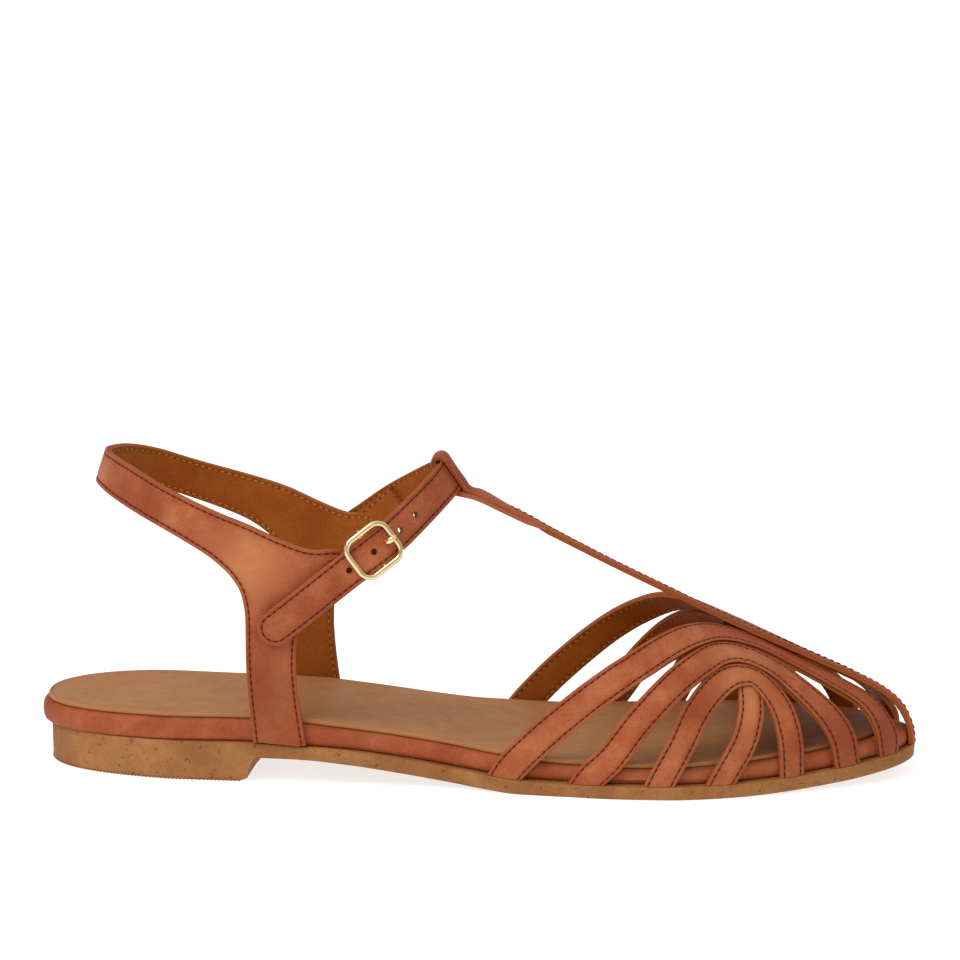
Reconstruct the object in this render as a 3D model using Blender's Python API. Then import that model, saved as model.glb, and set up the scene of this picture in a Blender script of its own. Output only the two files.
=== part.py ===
"""A t strap sandal, right shoe, European size 38, standing empty on its sole.

Frame: +X to the toe, +Y to the inner side, +Z up, and z = 0 on the floor. The origin is under the
middle of the shoe's box. Sizes are in millimetres, and MM turns them into Blender's metres.
"""
import math

import bmesh
import bpy
from mathutils import Vector

MM = 0.001

# Driving dimensions
HEEL_END = -127.4          # back of the rubber sole
TOE_END = 129.0            # tip of the rubber sole
GAP = 0.3                  # air left between two pieces that touch on the real shoe
STRAP_THICKNESS = 1.9      # cage straps
BAND_THICKNESS = 2.0       # heel band and ankle strap
SOCK_THICKNESS = 1.2       # insole

# Plan of the rubber sole: the middle of the width and half of the width at each x. Behind
# HEEL_ROUND_START and ahead of TOE_ROUND_START the half width is rounded off to nothing.
# Columns: x, middle, half
PLAN = [
    (-127.0, 1.5, 29.9),
    (-105.0, 0.8, 29.9),
    (-85.0, -1.5, 29.9),
    (-65.0, -2.8, 29.6),
    (-45.0, -4.0, 30.9),
    (-20.0, -4.0, 31.2),
    (-6.0, -3.4, 32.6),
    (5.0, -2.6, 36.4),
    (15.0, -2.4, 39.2),
    (30.0, -1.6, 42.0),
    (45.0, -0.6, 44.6),
    (60.0, 0.4, 45.3),
    (80.0, 2.4, 45.3),
    (100.0, 3.2, 45.3),
    (115.0, 1.5, 45.3),
    (129.0, -2.5, 45.3),
]
HEEL_ROUND_START = -85.0
HEEL_ROUNDNESS = 2.2
TOE_ROUND_START = 60.0
TOE_ROUNDNESS = 1.65

# Heights along the shoe. The breast, the step from heel block to waist, is at BREAST_X.
# Columns: x, under (bottom of the rubber), top (top of the rubber), bed (top of the footbed)
BREAST_X = -64.5
HEIGHTS = [
    (-127.4, 7.0, 11.6, 18.0),
    (-64.0, 7.0, 11.6, 18.2),
    (-50.0, 7.2, 11.3, 17.7),
    (-35.0, 6.0, 10.4, 16.2),
    (-18.0, 3.7, 8.4, 14.1),
    (-5.0, 1.8, 6.4, 12.2),
    (5.0, 0.7, 5.2, 10.8),
    (15.0, 0.0, 4.4, 9.7),
    (30.0, 0.0, 4.0, 8.7),
    (50.0, 0.0, 4.0, 8.4),
    (75.0, 0.0, 4.1, 9.1),
    (86.0, 0.3, 4.5, 9.8),
    (98.0, 1.0, 5.2, 10.6),
    (110.0, 2.0, 6.3, 11.7),
    (121.0, 3.4, 7.8, 13.1),
    (129.0, 4.8, 9.2, 14.2),
]

# How far the footbed's rim stands in from the sole's edge; it overhangs at the back of the heel.
# Columns: x, inset
RIM_INSETS = [
    (-127.0, -2.5),
    (-105.0, -0.7),
    (-80.0, 0.5),
    (-68.0, 1.0),
    (-46.0, 1.2),
    (-5.0, 2.0),
    (10.0, 2.6),
    (129.0, 2.6),
]
RIM_ROUNDING = 2.0
SOCK_INSET = 1.6           # edge of the insole, in from the rim

# The last inside the cage, as the outer face of the lowest straps: the height of its ridge.
# Columns: x, ridge
RIDGE = [
    (-10.0, 74.7),
    (20.0, 64.5),
    (40.0, 56.3),
    (60.0, 47.5),
    (77.0, 40.3),
    (92.0, 33.5),
    (106.0, 27.1),
    (116.0, 22.2),
    (122.0, 17.4),
    (126.0, 13.8),
    (128.8, 10.0),
]
LAST_FULLNESS = 2.3        # 2 is an ellipse, more is squarer
STRAP_TO_SOLE_EDGE = 0.3   # the straps' feet stand this far inside the sole's edge
LAYER_STEP = 0.8           # each strap lies this much above the one that it covers
LAYER_FULL_AT = 0.22       # share of the girth by which a strap has climbed onto its layer

# Routes of the cage straps on the outer side; the inner side mirrors them. A share of the girth
# counts from the sole (0) over the ridge (0.5), and less than 0 is below the sole's top.
# Columns: x, share
ARCH_A = [
    (6.0, -0.06), (11.6, 0.005), (20.5, 0.06), (31.5, 0.12), (42.3, 0.182), (50.6, 0.236),
    (57.0, 0.287), (63.5, 0.343), (69.5, 0.39), (76.0, 0.42), (84.0, 0.436), (92.0, 0.425),
    (100.0, 0.405), (107.0, 0.382), (112.0, 0.355), (115.5, 0.31), (118.0, 0.245), (120.0, 0.155),
    (121.5, 0.04), (121.7, -0.06),
]
ARCH_B = [
    (29.5, -0.06), (35.0, 0.003), (42.3, 0.051), (49.2, 0.115), (54.9, 0.166), (60.8, 0.221),
    (66.4, 0.273), (72.3, 0.328), (79.5, 0.356), (88.0, 0.344), (95.1, 0.298), (100.5, 0.25),
    (104.4, 0.203), (107.9, 0.125), (109.8, 0.0), (110.2, -0.06),
]
ARCH_C = [
    (52.5, -0.06), (56.2, 0.004), (62.0, 0.087), (65.8, 0.156), (69.9, 0.212), (74.2, 0.258),
    (78.3, 0.284), (82.5, 0.29), (87.0, 0.258), (90.8, 0.2), (93.2, 0.112), (93.8, 0.0), (93.9, -0.06),
]
STUB_D = [
    (70.0, -0.06), (73.5, 0.0), (79.5, 0.095), (81.6, 0.165), (81.8, 0.22), (80.8, 0.29),
    (79.3, 0.38), (78.5, 0.48),
]
# Columns: name, route, width of the rear leg, width of the front leg, layer
CAGE_STRAPS = [
    ("stub_d", STUB_D, 7.8, 7.8, 0),
    ("arch_c", ARCH_C, 8.3, 7.6, 1),
    ("arch_b", ARCH_B, 8.8, 8.2, 2),
    ("arch_a", ARCH_A, 9.4, 7.2, 3),
]
INNER_SIDE_BACK = 3.3      # the inner side's straps stand this much further back, except at the toe
INNER_SIDE_FADE = (75.0, 112.0)

# The T bar's middle line from the loop to the toe. Its outer edge is banked up by an angle.
# Columns: x, z, thickness, bank in degrees
T_BAR = [
    (-1.5, 81.1, 3.3, 2.0),
    (0.5, 80.1, 3.3, 4.0),
    (7.5, 76.6, 3.3, 8.0),
    (15.0, 72.9, 3.0, 10.0),
    (24.5, 68.1, 2.2, 11.0),
    (40.0, 60.4, 1.9, 11.5),
    (57.0, 52.4, 1.9, 11.5),
    (76.0, 43.5, 1.9, 11.0),
    (95.0, 35.5, 1.9, 10.0),
    (108.0, 30.0, 1.9, 10.0),
    (116.0, 26.2, 1.9, 11.0),
    (121.5, 22.7, 1.9, 10.0),
    (124.8, 19.2, 1.9, 8.0),
    (127.0, 15.0, 1.9, 4.0),
    (127.9, 11.8, 1.9, 1.0),
    (128.0, 9.6, 1.9, 0.0),
]
T_BAR_WIDTH = 10.6
T_BAR_Y = (-0.5, -2.5)     # middle line's y at the loop and at the toe
LOOP_WALL = 1.5            # the T bar's end, folded round the ankle strap
LOOP_LAYERS_APART = 1.7    # between the middles of its two layers where the fold closes

# The ankle's oval: the outer face of the heel band seen from above.
OVAL_MIDDLE = (-58.2, -2.6)
OVAL_HALF_LENGTH = 53.0
OVAL_HALF_WIDTH = 32.4
BACK_LEAN = 18.0           # degrees that the back strap leans forward
LEAN_ENDS_AT = 60.0        # distance along the oval from the back at which the lean is gone
POST_SPREAD_TOP = 36.0     # below this height the posts move in to the footbed's rim
POST_SPREAD_END = 14.0     # and at this height they lie against it
BACK_LINE = (89.0, 0.3)    # height about which the back leans, and its fall along the oval

# Heel band, one side, cut flat like a pattern: distance along the oval from the middle of the back,
# and height, of its lower edge and of the point opposite on its upper edge. The rows run from the
# back along the strap, round the lobe and down the post.
# Columns: along_low, z_low, along_high, z_high
BAND_PATTERN = [
    (0.0, 83.4, 0.0, 93.4),
    (9.0, 82.7, 13.0, 92.6),
    (20.0, 80.0, 24.5, 90.2),
    (31.0, 76.2, 35.5, 86.4),
    (40.5, 72.3, 45.0, 82.9),
    (49.2, 67.9, 54.5, 79.4),
    (54.0, 64.6, 63.5, 76.2),
    (57.6, 61.2, 72.5, 72.2),
    (60.2, 57.2, 81.0, 69.3),
    (61.3, 53.4, 89.8, 68.8),
    (61.8, 50.0, 90.0, 62.5),
    (61.9, 46.5, 86.0, 56.0),
    (61.9, 43.5, 81.0, 49.5),
    (61.9, 40.0, 77.3, 44.0),
    (62.0, 34.0, 76.6, 36.0),
    (62.4, 27.0, 77.1, 28.0),
    (63.0, 19.5, 78.2, 19.5),
    (63.7, 12.2, 79.5, 12.2),
]
TAB_WIDTH = 9.0
TAB_START = (80.0, 53.5)   # along, z

# Ankle strap's middle line. A height is at the middle of its width, the rise is how far its inner
# face stands off the band's outer face, and the tilt turns its face up.
# Columns: along (outer side is positive), z, rise, tilt in degrees
ANKLE_STRAP = [
    (71.0, 46.8, 0.5, 1.0),
    (78.0, 52.4, 0.5, 1.0),
    (86.0, 58.9, 0.7, 3.0),
    (93.0, 64.4, 1.3, 7.0),
    (98.7, 68.7, 1.9, 10.0),
    (105.0, 73.1, 1.2, 12.0),
    (110.5, 76.8, -0.2, 13.0),
    (116.0, 80.1, -1.4, 14.0),
    (123.0, 83.2, -2.8, 19.0),
    (130.0, 85.2, -3.5, 28.0),
    (136.7, 85.9, -3.7, 37.0),
    (143.5, 85.5, -3.5, 28.0),
    (150.5, 83.6, -2.8, 19.0),
    (157.5, 81.2, -1.4, 14.0),
    (168.0, 76.2, 0.2, 10.0),
    (174.0, 72.7, 0.6, 7.0),
    (180.3, 68.2, 0.7, 5.0),
    (187.0, 63.4, 0.6, 3.0),
    (194.0, 58.4, 0.5, 2.0),
]
ANKLE_STRAP_WIDTH = 10.4
TIP_ROUNDNESS = 0.96       # length of the strap's rounded tip, as a share of half its width
TIP_END = 0.12             # width left at its very end, as a share
INNER_TAB_LIFT = 6.5       # the inner tab lies higher than the outer one, under its strap
INNER_POST_FORWARD = 3.6   # the inner post and lobe stand further forward than the outer ones
INNER_POST_FADE = (35.0, 60.0)

# Buckle, on the ankle strap at BUCKLE_ALONG
BUCKLE_ALONG = 98.7
BUCKLE_LENGTH = 14.0       # along the strap
BUCKLE_WIDTH = 15.0        # across the strap
BUCKLE_CORNER = 3.4
BUCKLE_BAR = 1.7
BUCKLE_HEIGHT = 1.4
CENTRE_BAR_RADIUS = 0.8
SLEEVE_RADIUS = 2.1        # leather wrapped round the centre bar
PRONG_RADIUS = 0.65
PRONG_SLOT = 2.4
HOLE_RADIUS = 0.8
HOLE_PITCH = 6.4
OVAL_SHARE = 0.81          # distance along the oval for each millimetre along the sloping strap
PRONG_HOLE = 4.4           # from the centre bar towards the T bar
RING_UNDER = SLEEVE_RADIUS + GAP + BAND_THICKNESS - 0.3   # underside of the ring, out from the centre bar
BAR_BEVEL = 0.4
LEG_RADIUS = 0.75          # legs from the ring down to the centre bar
# Middle line of the prong, from its eye on the centre bar over the ring's front.
# Columns: along the strap, out from the centre bar
PRONG_PATH = [
    (1.2, 0.0), (2.4, 0.3), (3.4, 1.6), (4.1, 3.6), (4.8, 5.6),
    (5.8, RING_UNDER + BUCKLE_HEIGHT + 1.0), (6.8, RING_UNDER + BUCKLE_HEIGHT + 1.05),
    (7.9, RING_UNDER + BUCKLE_HEIGHT + 1.0),
]
PRONG_EYE = CENTRE_BAR_RADIUS + GAP      # inner radius of the prong's eye
PRONG_EYE_WALL = 0.8


def smooth(table, x, column):
    """Value of a table's column at x, along a curve that never overshoots its rows."""
    last = len(table) - 1
    if x <= table[0][0]:
        return table[0][column]
    if x >= table[last][0]:
        return table[last][column]
    row = max(i for i in range(last) if table[i][0] <= x)

    def slope(i):
        return (table[i + 1][column] - table[i][column]) / (table[i + 1][0] - table[i][0])

    def tangent(i):
        if i in (0, last):
            return slope(min(i, last - 1))
        before, after = slope(i - 1), slope(i)
        return 0.0 if before * after <= 0 else 2 * before * after / (before + after)

    step = table[row + 1][0] - table[row][0]
    t = (x - table[row][0]) / step
    start, end = table[row][column], table[row + 1][column]
    return (
        start * (2 * t**3 - 3 * t**2 + 1)
        + end * (3 * t**2 - 2 * t**3)
        + tangent(row) * step * (t**3 - 2 * t**2 + t)
        + tangent(row + 1) * step * (t**3 - t**2)
    )


def ease(t):
    """0 to 1 with no kink at either end."""
    t = min(1.0, max(0.0, t))
    return t * t * (3 - 2 * t)


def spline(rows, steps):
    """Points along a Catmull-Rom curve through the rows, steps of them between two rows."""
    rows = [Vector(row) for row in rows]
    ends = [2 * rows[0] - rows[1]] + rows + [2 * rows[-1] - rows[-2]]
    points = []
    for i in range(1, len(rows)):
        a, b, c, d = ends[i - 1 : i + 3]
        for k in range(steps):
            t = k / steps
            points.append(0.5 * (2 * b + (c - a) * t + (2 * a - 5 * b + 4 * c - d) * t**2
                                 + (3 * b - a - 3 * c + d) * t**3))
    points.append(rows[-1])
    return points


def resampled(points, count):
    """The same line with count points at even distances."""
    lengths = [0.0]
    for a, b in zip(points, points[1:]):
        lengths.append(lengths[-1] + (b - a).length)
    result = []
    k = 0
    for i in range(count):
        target = lengths[-1] * i / (count - 1)
        while k < len(points) - 2 and lengths[k + 1] < target:
            k += 1
        span = max(lengths[k + 1] - lengths[k], 1e-9)
        result.append(points[k].lerp(points[k + 1], min(1.0, max(0.0, (target - lengths[k]) / span))))
    return result


# Materials and meshes

def material(name, colour, roughness, metallic=0.0):
    made = bpy.data.materials.new(name)
    made.use_nodes = True
    shader = made.node_tree.nodes["Principled BSDF"]
    shader.inputs["Base Color"].default_value = (*colour, 1.0)
    shader.inputs["Roughness"].default_value = roughness
    shader.inputs["Metallic"].default_value = metallic
    return made


def solid(name, points, faces):
    """A closed mesh object from points in millimetres, with its faces turned outward."""
    mesh = bpy.data.meshes.new(name)
    mesh.from_pydata([Vector(p) * MM for p in points], [], faces)
    body = bmesh.new()
    body.from_mesh(mesh)
    bmesh.ops.recalc_face_normals(body, faces=body.faces)
    if body.calc_volume(signed=True) < 0:
        bmesh.ops.reverse_faces(body, faces=body.faces)
    body.to_mesh(mesh)
    body.free()
    made = bpy.data.objects.new(name, mesh)
    bpy.context.collection.objects.link(made)
    return made


def finish(made, look, sharp_degrees=40):
    made.data.materials.clear()
    made.data.materials.append(look)
    made.data.shade_smooth()
    made.data.set_sharp_from_angle(angle=math.radians(sharp_degrees))
    return made


def combine(target, tools, operation):
    """Unites the tools with the target, or cuts them from it, and removes them."""
    for tool in tools:
        change = target.modifiers.new(tool.name, "BOOLEAN")
        change.object = tool
        change.operation = operation
        change.solver = "EXACT"
    bpy.context.view_layer.update()
    shape = target.evaluated_get(bpy.context.evaluated_depsgraph_get())
    mesh = bpy.data.meshes.new_from_object(shape)
    target.modifiers.clear()
    target.data = mesh
    for tool in tools:
        bpy.data.objects.remove(tool)
    return target


def sheet(name, outer, inner):
    """A closed wall between two grids of points; a row runs across, and the rows follow its length."""
    rows, across = len(outer), len(outer[0])
    points = [p for row in outer for p in row] + [p for row in inner for p in row]
    half = rows * across
    faces = []
    for i in range(rows - 1):
        for j in range(across - 1):
            a = i * across + j
            faces.append((a, a + 1, a + across + 1, a + across))
            faces.append((half + a, half + a + across, half + a + across + 1, half + a + 1))
        for j in (0, across - 1):
            a = i * across + j
            faces.append((a, a + across, half + a + across, half + a))
    for i in (0, rows - 1):
        for j in range(across - 1):
            a = i * across + j
            faces.append((a, a + 1, half + a + 1, half + a))
    return solid(name, points, faces)


def stack(name, rings):
    """A closed solid from rings round the shoe's plan, lowest first. Each end is closed by strips
    from side to side. A ring holds the heel point, the outer side, the toe point, the inner side."""
    count = len(rings[0])
    points = [p for ring in rings for p in ring]
    faces = []
    for level in range(len(rings) - 1):
        low, high = level * count, (level + 1) * count
        for i in range(count):
            j = (i + 1) % count
            faces.append((low + i, low + j, high + j, high + i))
    for start in (0, (len(rings) - 1) * count):
        for i in range(count // 2):
            right = (start + i, start + i + 1)
            left = (start + (count - i - 1), start + (count - i) % count)
            face = (*right, *left)
            faces.append(tuple(dict.fromkeys(face)))
    return solid(name, points, faces)


def rod(name, start, end, radius, sides=16):
    """A round bar between two points."""
    start, end = Vector(start), Vector(end)
    along = (end - start).normalized()
    side = along.orthogonal().normalized()
    other = along.cross(side)
    points = []
    for centre in (start, end):
        for i in range(sides):
            turn = math.tau * i / sides
            points.append(centre + radius * (math.cos(turn) * side + math.sin(turn) * other))
    faces = [(i, (i + 1) % sides, sides + (i + 1) % sides, sides + i) for i in range(sides)]
    faces += [tuple(range(sides)), tuple(range(sides, 2 * sides))]
    return solid(name, points, faces)


# Sole

def middle(x):
    return smooth(PLAN, x, 1)


def half_width(x):
    width = smooth(PLAN, x, 2)
    if x < HEEL_ROUND_START:
        reach = min(1.0, (HEEL_ROUND_START - x) / (HEEL_ROUND_START - HEEL_END))
        width *= (1 - reach**HEEL_ROUNDNESS) ** (1 / HEEL_ROUNDNESS)
    if x > TOE_ROUND_START:
        reach = min(1.0, (x - TOE_ROUND_START) / (TOE_END - TOE_ROUND_START))
        width *= (1 - reach**TOE_ROUNDNESS) ** (1 / TOE_ROUNDNESS)
    return width


def stations():
    """x of the plan's points between heel and toe, closer together where the outline turns."""
    heel_steps, toe_steps = 9, 14
    heel = [HEEL_ROUND_START + (HEEL_END - HEEL_ROUND_START) * math.sin(math.pi / 2 * i / heel_steps)
            for i in range(heel_steps - 1, 0, -1)]
    body = [-85.0, -75.0, BREAST_X, BREAST_X + 0.3, BREAST_X + 1.2, BREAST_X + 3.2]
    body += [-56.0, -50.0, -42.0, -35.0, -26.0, -18.0, -11.0, -5.0, 0.0, 5.0, 10.0, 15.0, 22.0]
    body += [30.0, 38.0, 46.0, 53.0]
    toe = [TOE_ROUND_START + (TOE_END - TOE_ROUND_START) * math.sin(math.pi / 2 * i / toe_steps)
           for i in range(toe_steps)]
    return heel + body + toe


def plan_ring(inset):
    """The sole's outline moved in by inset(x), as points without a height."""
    xs = stations()
    outline = [Vector((HEEL_END, middle(HEEL_END)))]
    outline += [Vector((x, middle(x) - half_width(x))) for x in xs]
    outline += [Vector((TOE_END, middle(TOE_END)))]
    outline += [Vector((x, middle(x) + half_width(x))) for x in reversed(xs)]
    moved = []
    for i, point in enumerate(outline):
        along = (outline[(i + 1) % len(outline)] - outline[i - 1]).normalized()
        moved.append(point + Vector((-along.y, along.x)) * inset(point.x))
    return moved


def ring(inset, height):
    return [Vector((p.x, p.y, height(p.x))) for p in plan_ring(inset)]


def rim_inset(x):
    return smooth(RIM_INSETS, x, 1)


def sole_top(x):
    return smooth(HEIGHTS, x, 2)


def sole_under(x):
    """Underside: flat under the heel block, a short hollow breast, then the waist."""
    if x <= BREAST_X + 0.01:
        return 0.0
    rise = min(1.0, (x - BREAST_X) / 3.3)
    return smooth(HEIGHTS, x, 1) * (1 - (1 - rise) ** 2) ** 0.5


def bed_top(x):
    return smooth(HEIGHTS, x, 3)


def make_outsole():
    levels = [
        ring(lambda x: 0.5, sole_under),
        ring(lambda x: 0.2, lambda x: 0.7 * sole_under(x) + 0.3 * sole_top(x)),
        ring(lambda x: 0.0, lambda x: sole_top(x) - 0.4),
        ring(lambda x: 0.4, sole_top),
    ]
    made = stack("outsole", levels)
    return finish(made, material("crepe_rubber", (0.41, 0.195, 0.075), 0.75))


def make_footbed():
    def rim(depth):
        return lambda x: rim_inset(x) + depth

    bulge = RIM_ROUNDING
    levels = [
        ring(rim(0.7), lambda x: sole_top(x) + GAP),
        ring(rim(0.0), lambda x: sole_top(x) + GAP + 1.0),
        ring(rim(0.0), lambda x: bed_top(x) - bulge),
        ring(rim(0.3 * bulge), lambda x: bed_top(x) - 0.3 * bulge),
        ring(rim(bulge), bed_top),
    ]
    made = stack("footbed", levels)
    return finish(made, material("rim_leather", (0.43, 0.122, 0.054), 0.5))


def make_insole():
    def edge(x):
        return rim_inset(x) + SOCK_INSET

    levels = [
        ring(edge, lambda x: bed_top(x) + GAP),
        ring(edge, lambda x: bed_top(x) + GAP + SOCK_THICKNESS),
    ]
    made = stack("insole", levels)
    return finish(made, material("sock_leather", (0.39, 0.195, 0.084), 0.55))


# Cage

def last_point(x, share):
    """Point on the last at x, at a share of the girth."""
    turn = math.pi * share
    base = sole_top(x) + GAP
    ridge = smooth(RIDGE, x, 1)
    ridge_y = t_bar_y(x)
    side = -1 if share < 0.5 else 1
    foot_y = middle(x) + side * (half_width(x) - STRAP_TO_SOLE_EDGE)
    over, up = abs(math.cos(turn)), math.sin(turn)
    reach = (over**LAST_FULLNESS + abs(up) ** LAST_FULLNESS) ** (-1 / LAST_FULLNESS)
    y = ridge_y + (foot_y - ridge_y) * over * reach
    z = base + (ridge - base) * up * reach
    return Vector((x, y, z))


def last_frame(x, share):
    """Point on the last with the two directions in which x and the share grow, and the outward normal."""
    step_x, step_share = 0.25, 0.002
    point = last_point(x, share)
    by_x = (last_point(x + step_x, share) - last_point(x - step_x, share)) / (2 * step_x)
    by_share = (last_point(x, share + step_share) - last_point(x, share - step_share)) / (2 * step_share)
    return point, by_x, by_share, by_x.cross(by_share).normalized()


def t_bar_y(x):
    start, end = T_BAR_Y
    return start + (end - start) * min(1.0, max(0.0, x / TOE_END))


def strap_line(route, side, rear_width, front_width):
    """A line beside a route, as (x, share) pairs above the sole. A side of -0.5 is one edge of the strap
    and 0.5 the other, and its width changes from the rear leg to the front leg."""
    line = []
    for i, here in enumerate(route):
        offset = side * (rear_width + (front_width - rear_width) * ease(i / (len(route) - 1)))
        before, after = route[max(0, i - 1)], route[min(len(route) - 1, i + 1)]
        _, by_x, by_share, normal = last_frame(here.x, here.y)
        along = (by_x * (after.x - before.x) + by_share * (after.y - before.y)).normalized()
        across = normal.cross(along) * offset
        det = by_x.dot(by_x) * by_share.dot(by_share) - by_x.dot(by_share) ** 2
        mixed = by_x.dot(by_share)
        move_x = (across.dot(by_x) * by_share.dot(by_share) - across.dot(by_share) * mixed) / det
        move_share = (across.dot(by_share) * by_x.dot(by_x) - across.dot(by_x) * mixed) / det
        line.append(Vector((here.x + move_x, here.y + move_share)))
    clipped = []
    for a, b in zip(line, line[1:]):
        if (a.y < 0) != (b.y < 0):
            foot = a.lerp(b, a.y / (a.y - b.y))
            clipped += [foot] if a.y < 0 else [a, foot]
        elif a.y >= 0:
            clipped.append(a)
    if line[-1].y >= 0:
        clipped.append(line[-1])
    return clipped


def side_shift(x):
    start, end = INNER_SIDE_FADE
    return INNER_SIDE_BACK * ease((end - x) / (end - start))


def cage_strap(name, rows, rear_width, front_width, layer, inner_side, stations_along):
    """A strap on the last. Its lines are cut off at the sole, so its feet end flush on it."""
    across = 3
    route = spline([(x - side_shift(x), share) for x, share in rows] if inner_side else rows, 8)
    outer, inner = [], []
    for j in range(across + 1):
        flat = strap_line(route, j / across - 0.5, rear_width, front_width)
        scaled = resampled([Vector((p.x, p.y * 100.0)) for p in flat], stations_along)
        lift_line, under_line = [], []
        for p in scaled:
            share = p.y / 100.0
            lift = layer * LAYER_STEP * ease(share / LAYER_FULL_AT)
            point, _, _, normal = last_frame(p.x, 1 - share if inner_side else share)
            lift_line.append(point + normal * lift)
            under_line.append(point + normal * (lift - STRAP_THICKNESS))
        outer.append(lift_line)
        inner.append(under_line)
    rows_out = [[line[i] for line in outer] for i in range(stations_along)]
    rows_in = [[line[i] for line in inner] for i in range(stations_along)]
    return sheet(name, rows_out, rows_in)


def ribbon_frame(line, i):
    """Middle of the T bar at a point of its line, with its width direction and its outer normal."""
    here, before, after = line[i], line[max(0, i - 1)], line[min(len(line) - 1, i + 1)]
    along = Vector((after.x - before.x, 0.0, after.y - before.y)).normalized()
    level = Vector((0.0, 1.0, 0.0))
    up = along.cross(level)
    bank = math.radians(here.w)
    side = level * math.cos(bank) - up * math.sin(bank)
    face = up * math.cos(bank) + level * math.sin(bank)
    return Vector((here.x, t_bar_y(here.x), here.y)), side, face


def make_t_bar():
    line = spline(T_BAR, 3)
    outer, inner = [], []
    for i, here in enumerate(line):
        centre, side, face = ribbon_frame(line, i)
        edges = [centre + side * T_BAR_WIDTH * k for k in (-0.5, -0.25, 0.0, 0.25, 0.5)]
        outer.append([p + face * here.z / 2 for p in edges])
        inner.append([p - face * here.z / 2 for p in edges])
    return sheet("upper", outer, inner)


def make_upper():
    bar = make_t_bar()
    pieces = [t_bar_loop()]
    for name, route, rear_width, front_width, layer in CAGE_STRAPS:
        count = 11 if name == "stub_d" else 30
        for inner_side in (False, True):
            pieces.append(cage_strap(name, route, rear_width, front_width, layer, inner_side, count))
    made = combine(bar, pieces, "UNION")
    return finish(made, material("upper_leather", (0.43, 0.122, 0.054), 0.48))


# Ankle: heel band, ankle strap and loop

def oval_table():
    """Turn of the oval, and distance along it from the back."""
    table = [(0.0, 0.0)]
    steps = 720
    for i in range(1, steps + 1):
        turn = math.tau * i / steps
        middle_turn = math.tau * (i - 0.5) / steps
        along_x = OVAL_HALF_LENGTH * math.sin(middle_turn)
        along_y = OVAL_HALF_WIDTH * math.cos(middle_turn)
        speed = math.hypot(along_x, along_y)
        table.append((table[-1][0] + speed * math.tau / steps, turn))
    return table


OVAL = oval_table()


def oval_point(along):
    """Point and outward normal of the ankle's oval, a distance along it from the middle of the back.
    A positive distance runs round the outer side."""
    distance = abs(along)
    row = min(len(OVAL) - 2, int(len(OVAL) * distance / OVAL[-1][0]))
    while OVAL[row][0] > distance:
        row -= 1
    while row < len(OVAL) - 2 and OVAL[row + 1][0] < distance:
        row += 1
    share = (distance - OVAL[row][0]) / (OVAL[row + 1][0] - OVAL[row][0])
    turn = OVAL[row][1] + share * (OVAL[row + 1][1] - OVAL[row][1])
    side = -1 if along >= 0 else 1
    point = Vector((
        OVAL_MIDDLE[0] - OVAL_HALF_LENGTH * math.cos(turn),
        OVAL_MIDDLE[1] + side * OVAL_HALF_WIDTH * math.sin(turn),
        0.0,
    ))
    normal = Vector((
        -math.cos(turn) / OVAL_HALF_LENGTH,
        side * math.sin(turn) / OVAL_HALF_WIDTH,
        0.0,
    )).normalized()
    return point, normal


def band_point(along, z, depth):
    """Point of the heel band's wall, depth in from its outer face."""
    if along < 0:
        start, end = INNER_POST_FADE
        along -= INNER_POST_FORWARD * ease((-along - start) / (end - start))
    point, normal = oval_point(along)
    lean = math.tan(math.radians(BACK_LEAN)) * max(0.0, 1 - abs(along) / LEAN_ENDS_AT)
    line_z = BACK_LINE[0] - BACK_LINE[1] * abs(along)
    point = point - normal * ((z - line_z) * lean + depth)
    if z < POST_SPREAD_TOP:
        side = -1 if along > 0 else 1
        rim = half_width(point.x) - rim_inset(point.x) + GAP
        rim_y = middle(point.x) + side * (rim + BAND_THICKNESS - depth)
        point.y += (rim_y - point.y) * ease((POST_SPREAD_TOP - z) / (POST_SPREAD_TOP - POST_SPREAD_END))
    return Vector((point.x, point.y, z))


def make_heel_band():
    side_rows = spline(BAND_PATTERN, 2)
    rows = [(-1, row) for row in reversed(side_rows[1:])] + [(1, row) for row in side_rows]
    across = 4
    outer, inner = [], []
    for side, row in rows:
        along_low, z_low, along_high, z_high = row
        line = []
        for j in range(across + 1):
            share = j / across
            along = along_low + (along_high - along_low) * share
            line.append((side * along, z_low + (z_high - z_low) * share))
        outer.append([band_point(a, z, 0.0) for a, z in line])
        inner.append([band_point(a, z, BAND_THICKNESS) for a, z in line])
    made = sheet("heel_band", outer, inner)
    tabs = [tab("outer_tab", 1, 0.0), tab("inner_tab", -1, INNER_TAB_LIFT)]
    made = combine(made, tabs + [sleeve()], "UNION")
    made = combine(made, [sleeve_bore(), prong_slot()], "DIFFERENCE")
    return finish(made, material("band_leather", (0.43, 0.122, 0.054), 0.48))


def tab(name, side, lift):
    """The end of a lobe that lies under the ankle strap."""
    skin = 0.15
    end = strap_place(BUCKLE_ALONG)
    steps, across = 8, 2
    outer, inner = [], []
    slope = (end[1] - TAB_START[1]) / (BUCKLE_ALONG - TAB_START[0])
    reach = math.hypot(1, slope)
    for i in range(steps + 1):
        share = i / steps
        along = TAB_START[0] + (BUCKLE_ALONG - 0.6 - TAB_START[0]) * share
        z = TAB_START[1] + slope * (along - TAB_START[0]) + lift
        line = []
        for j in range(across + 1):
            offset = TAB_WIDTH * (0.5 - j / across)
            line.append((side * (along + offset * slope / reach), z - offset / reach))
        outer.append([band_point(a, h, skin) for a, h in line])
        inner.append([band_point(a, h, BAND_THICKNESS - skin) for a, h in line])
    return sheet(name, outer, inner)


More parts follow.
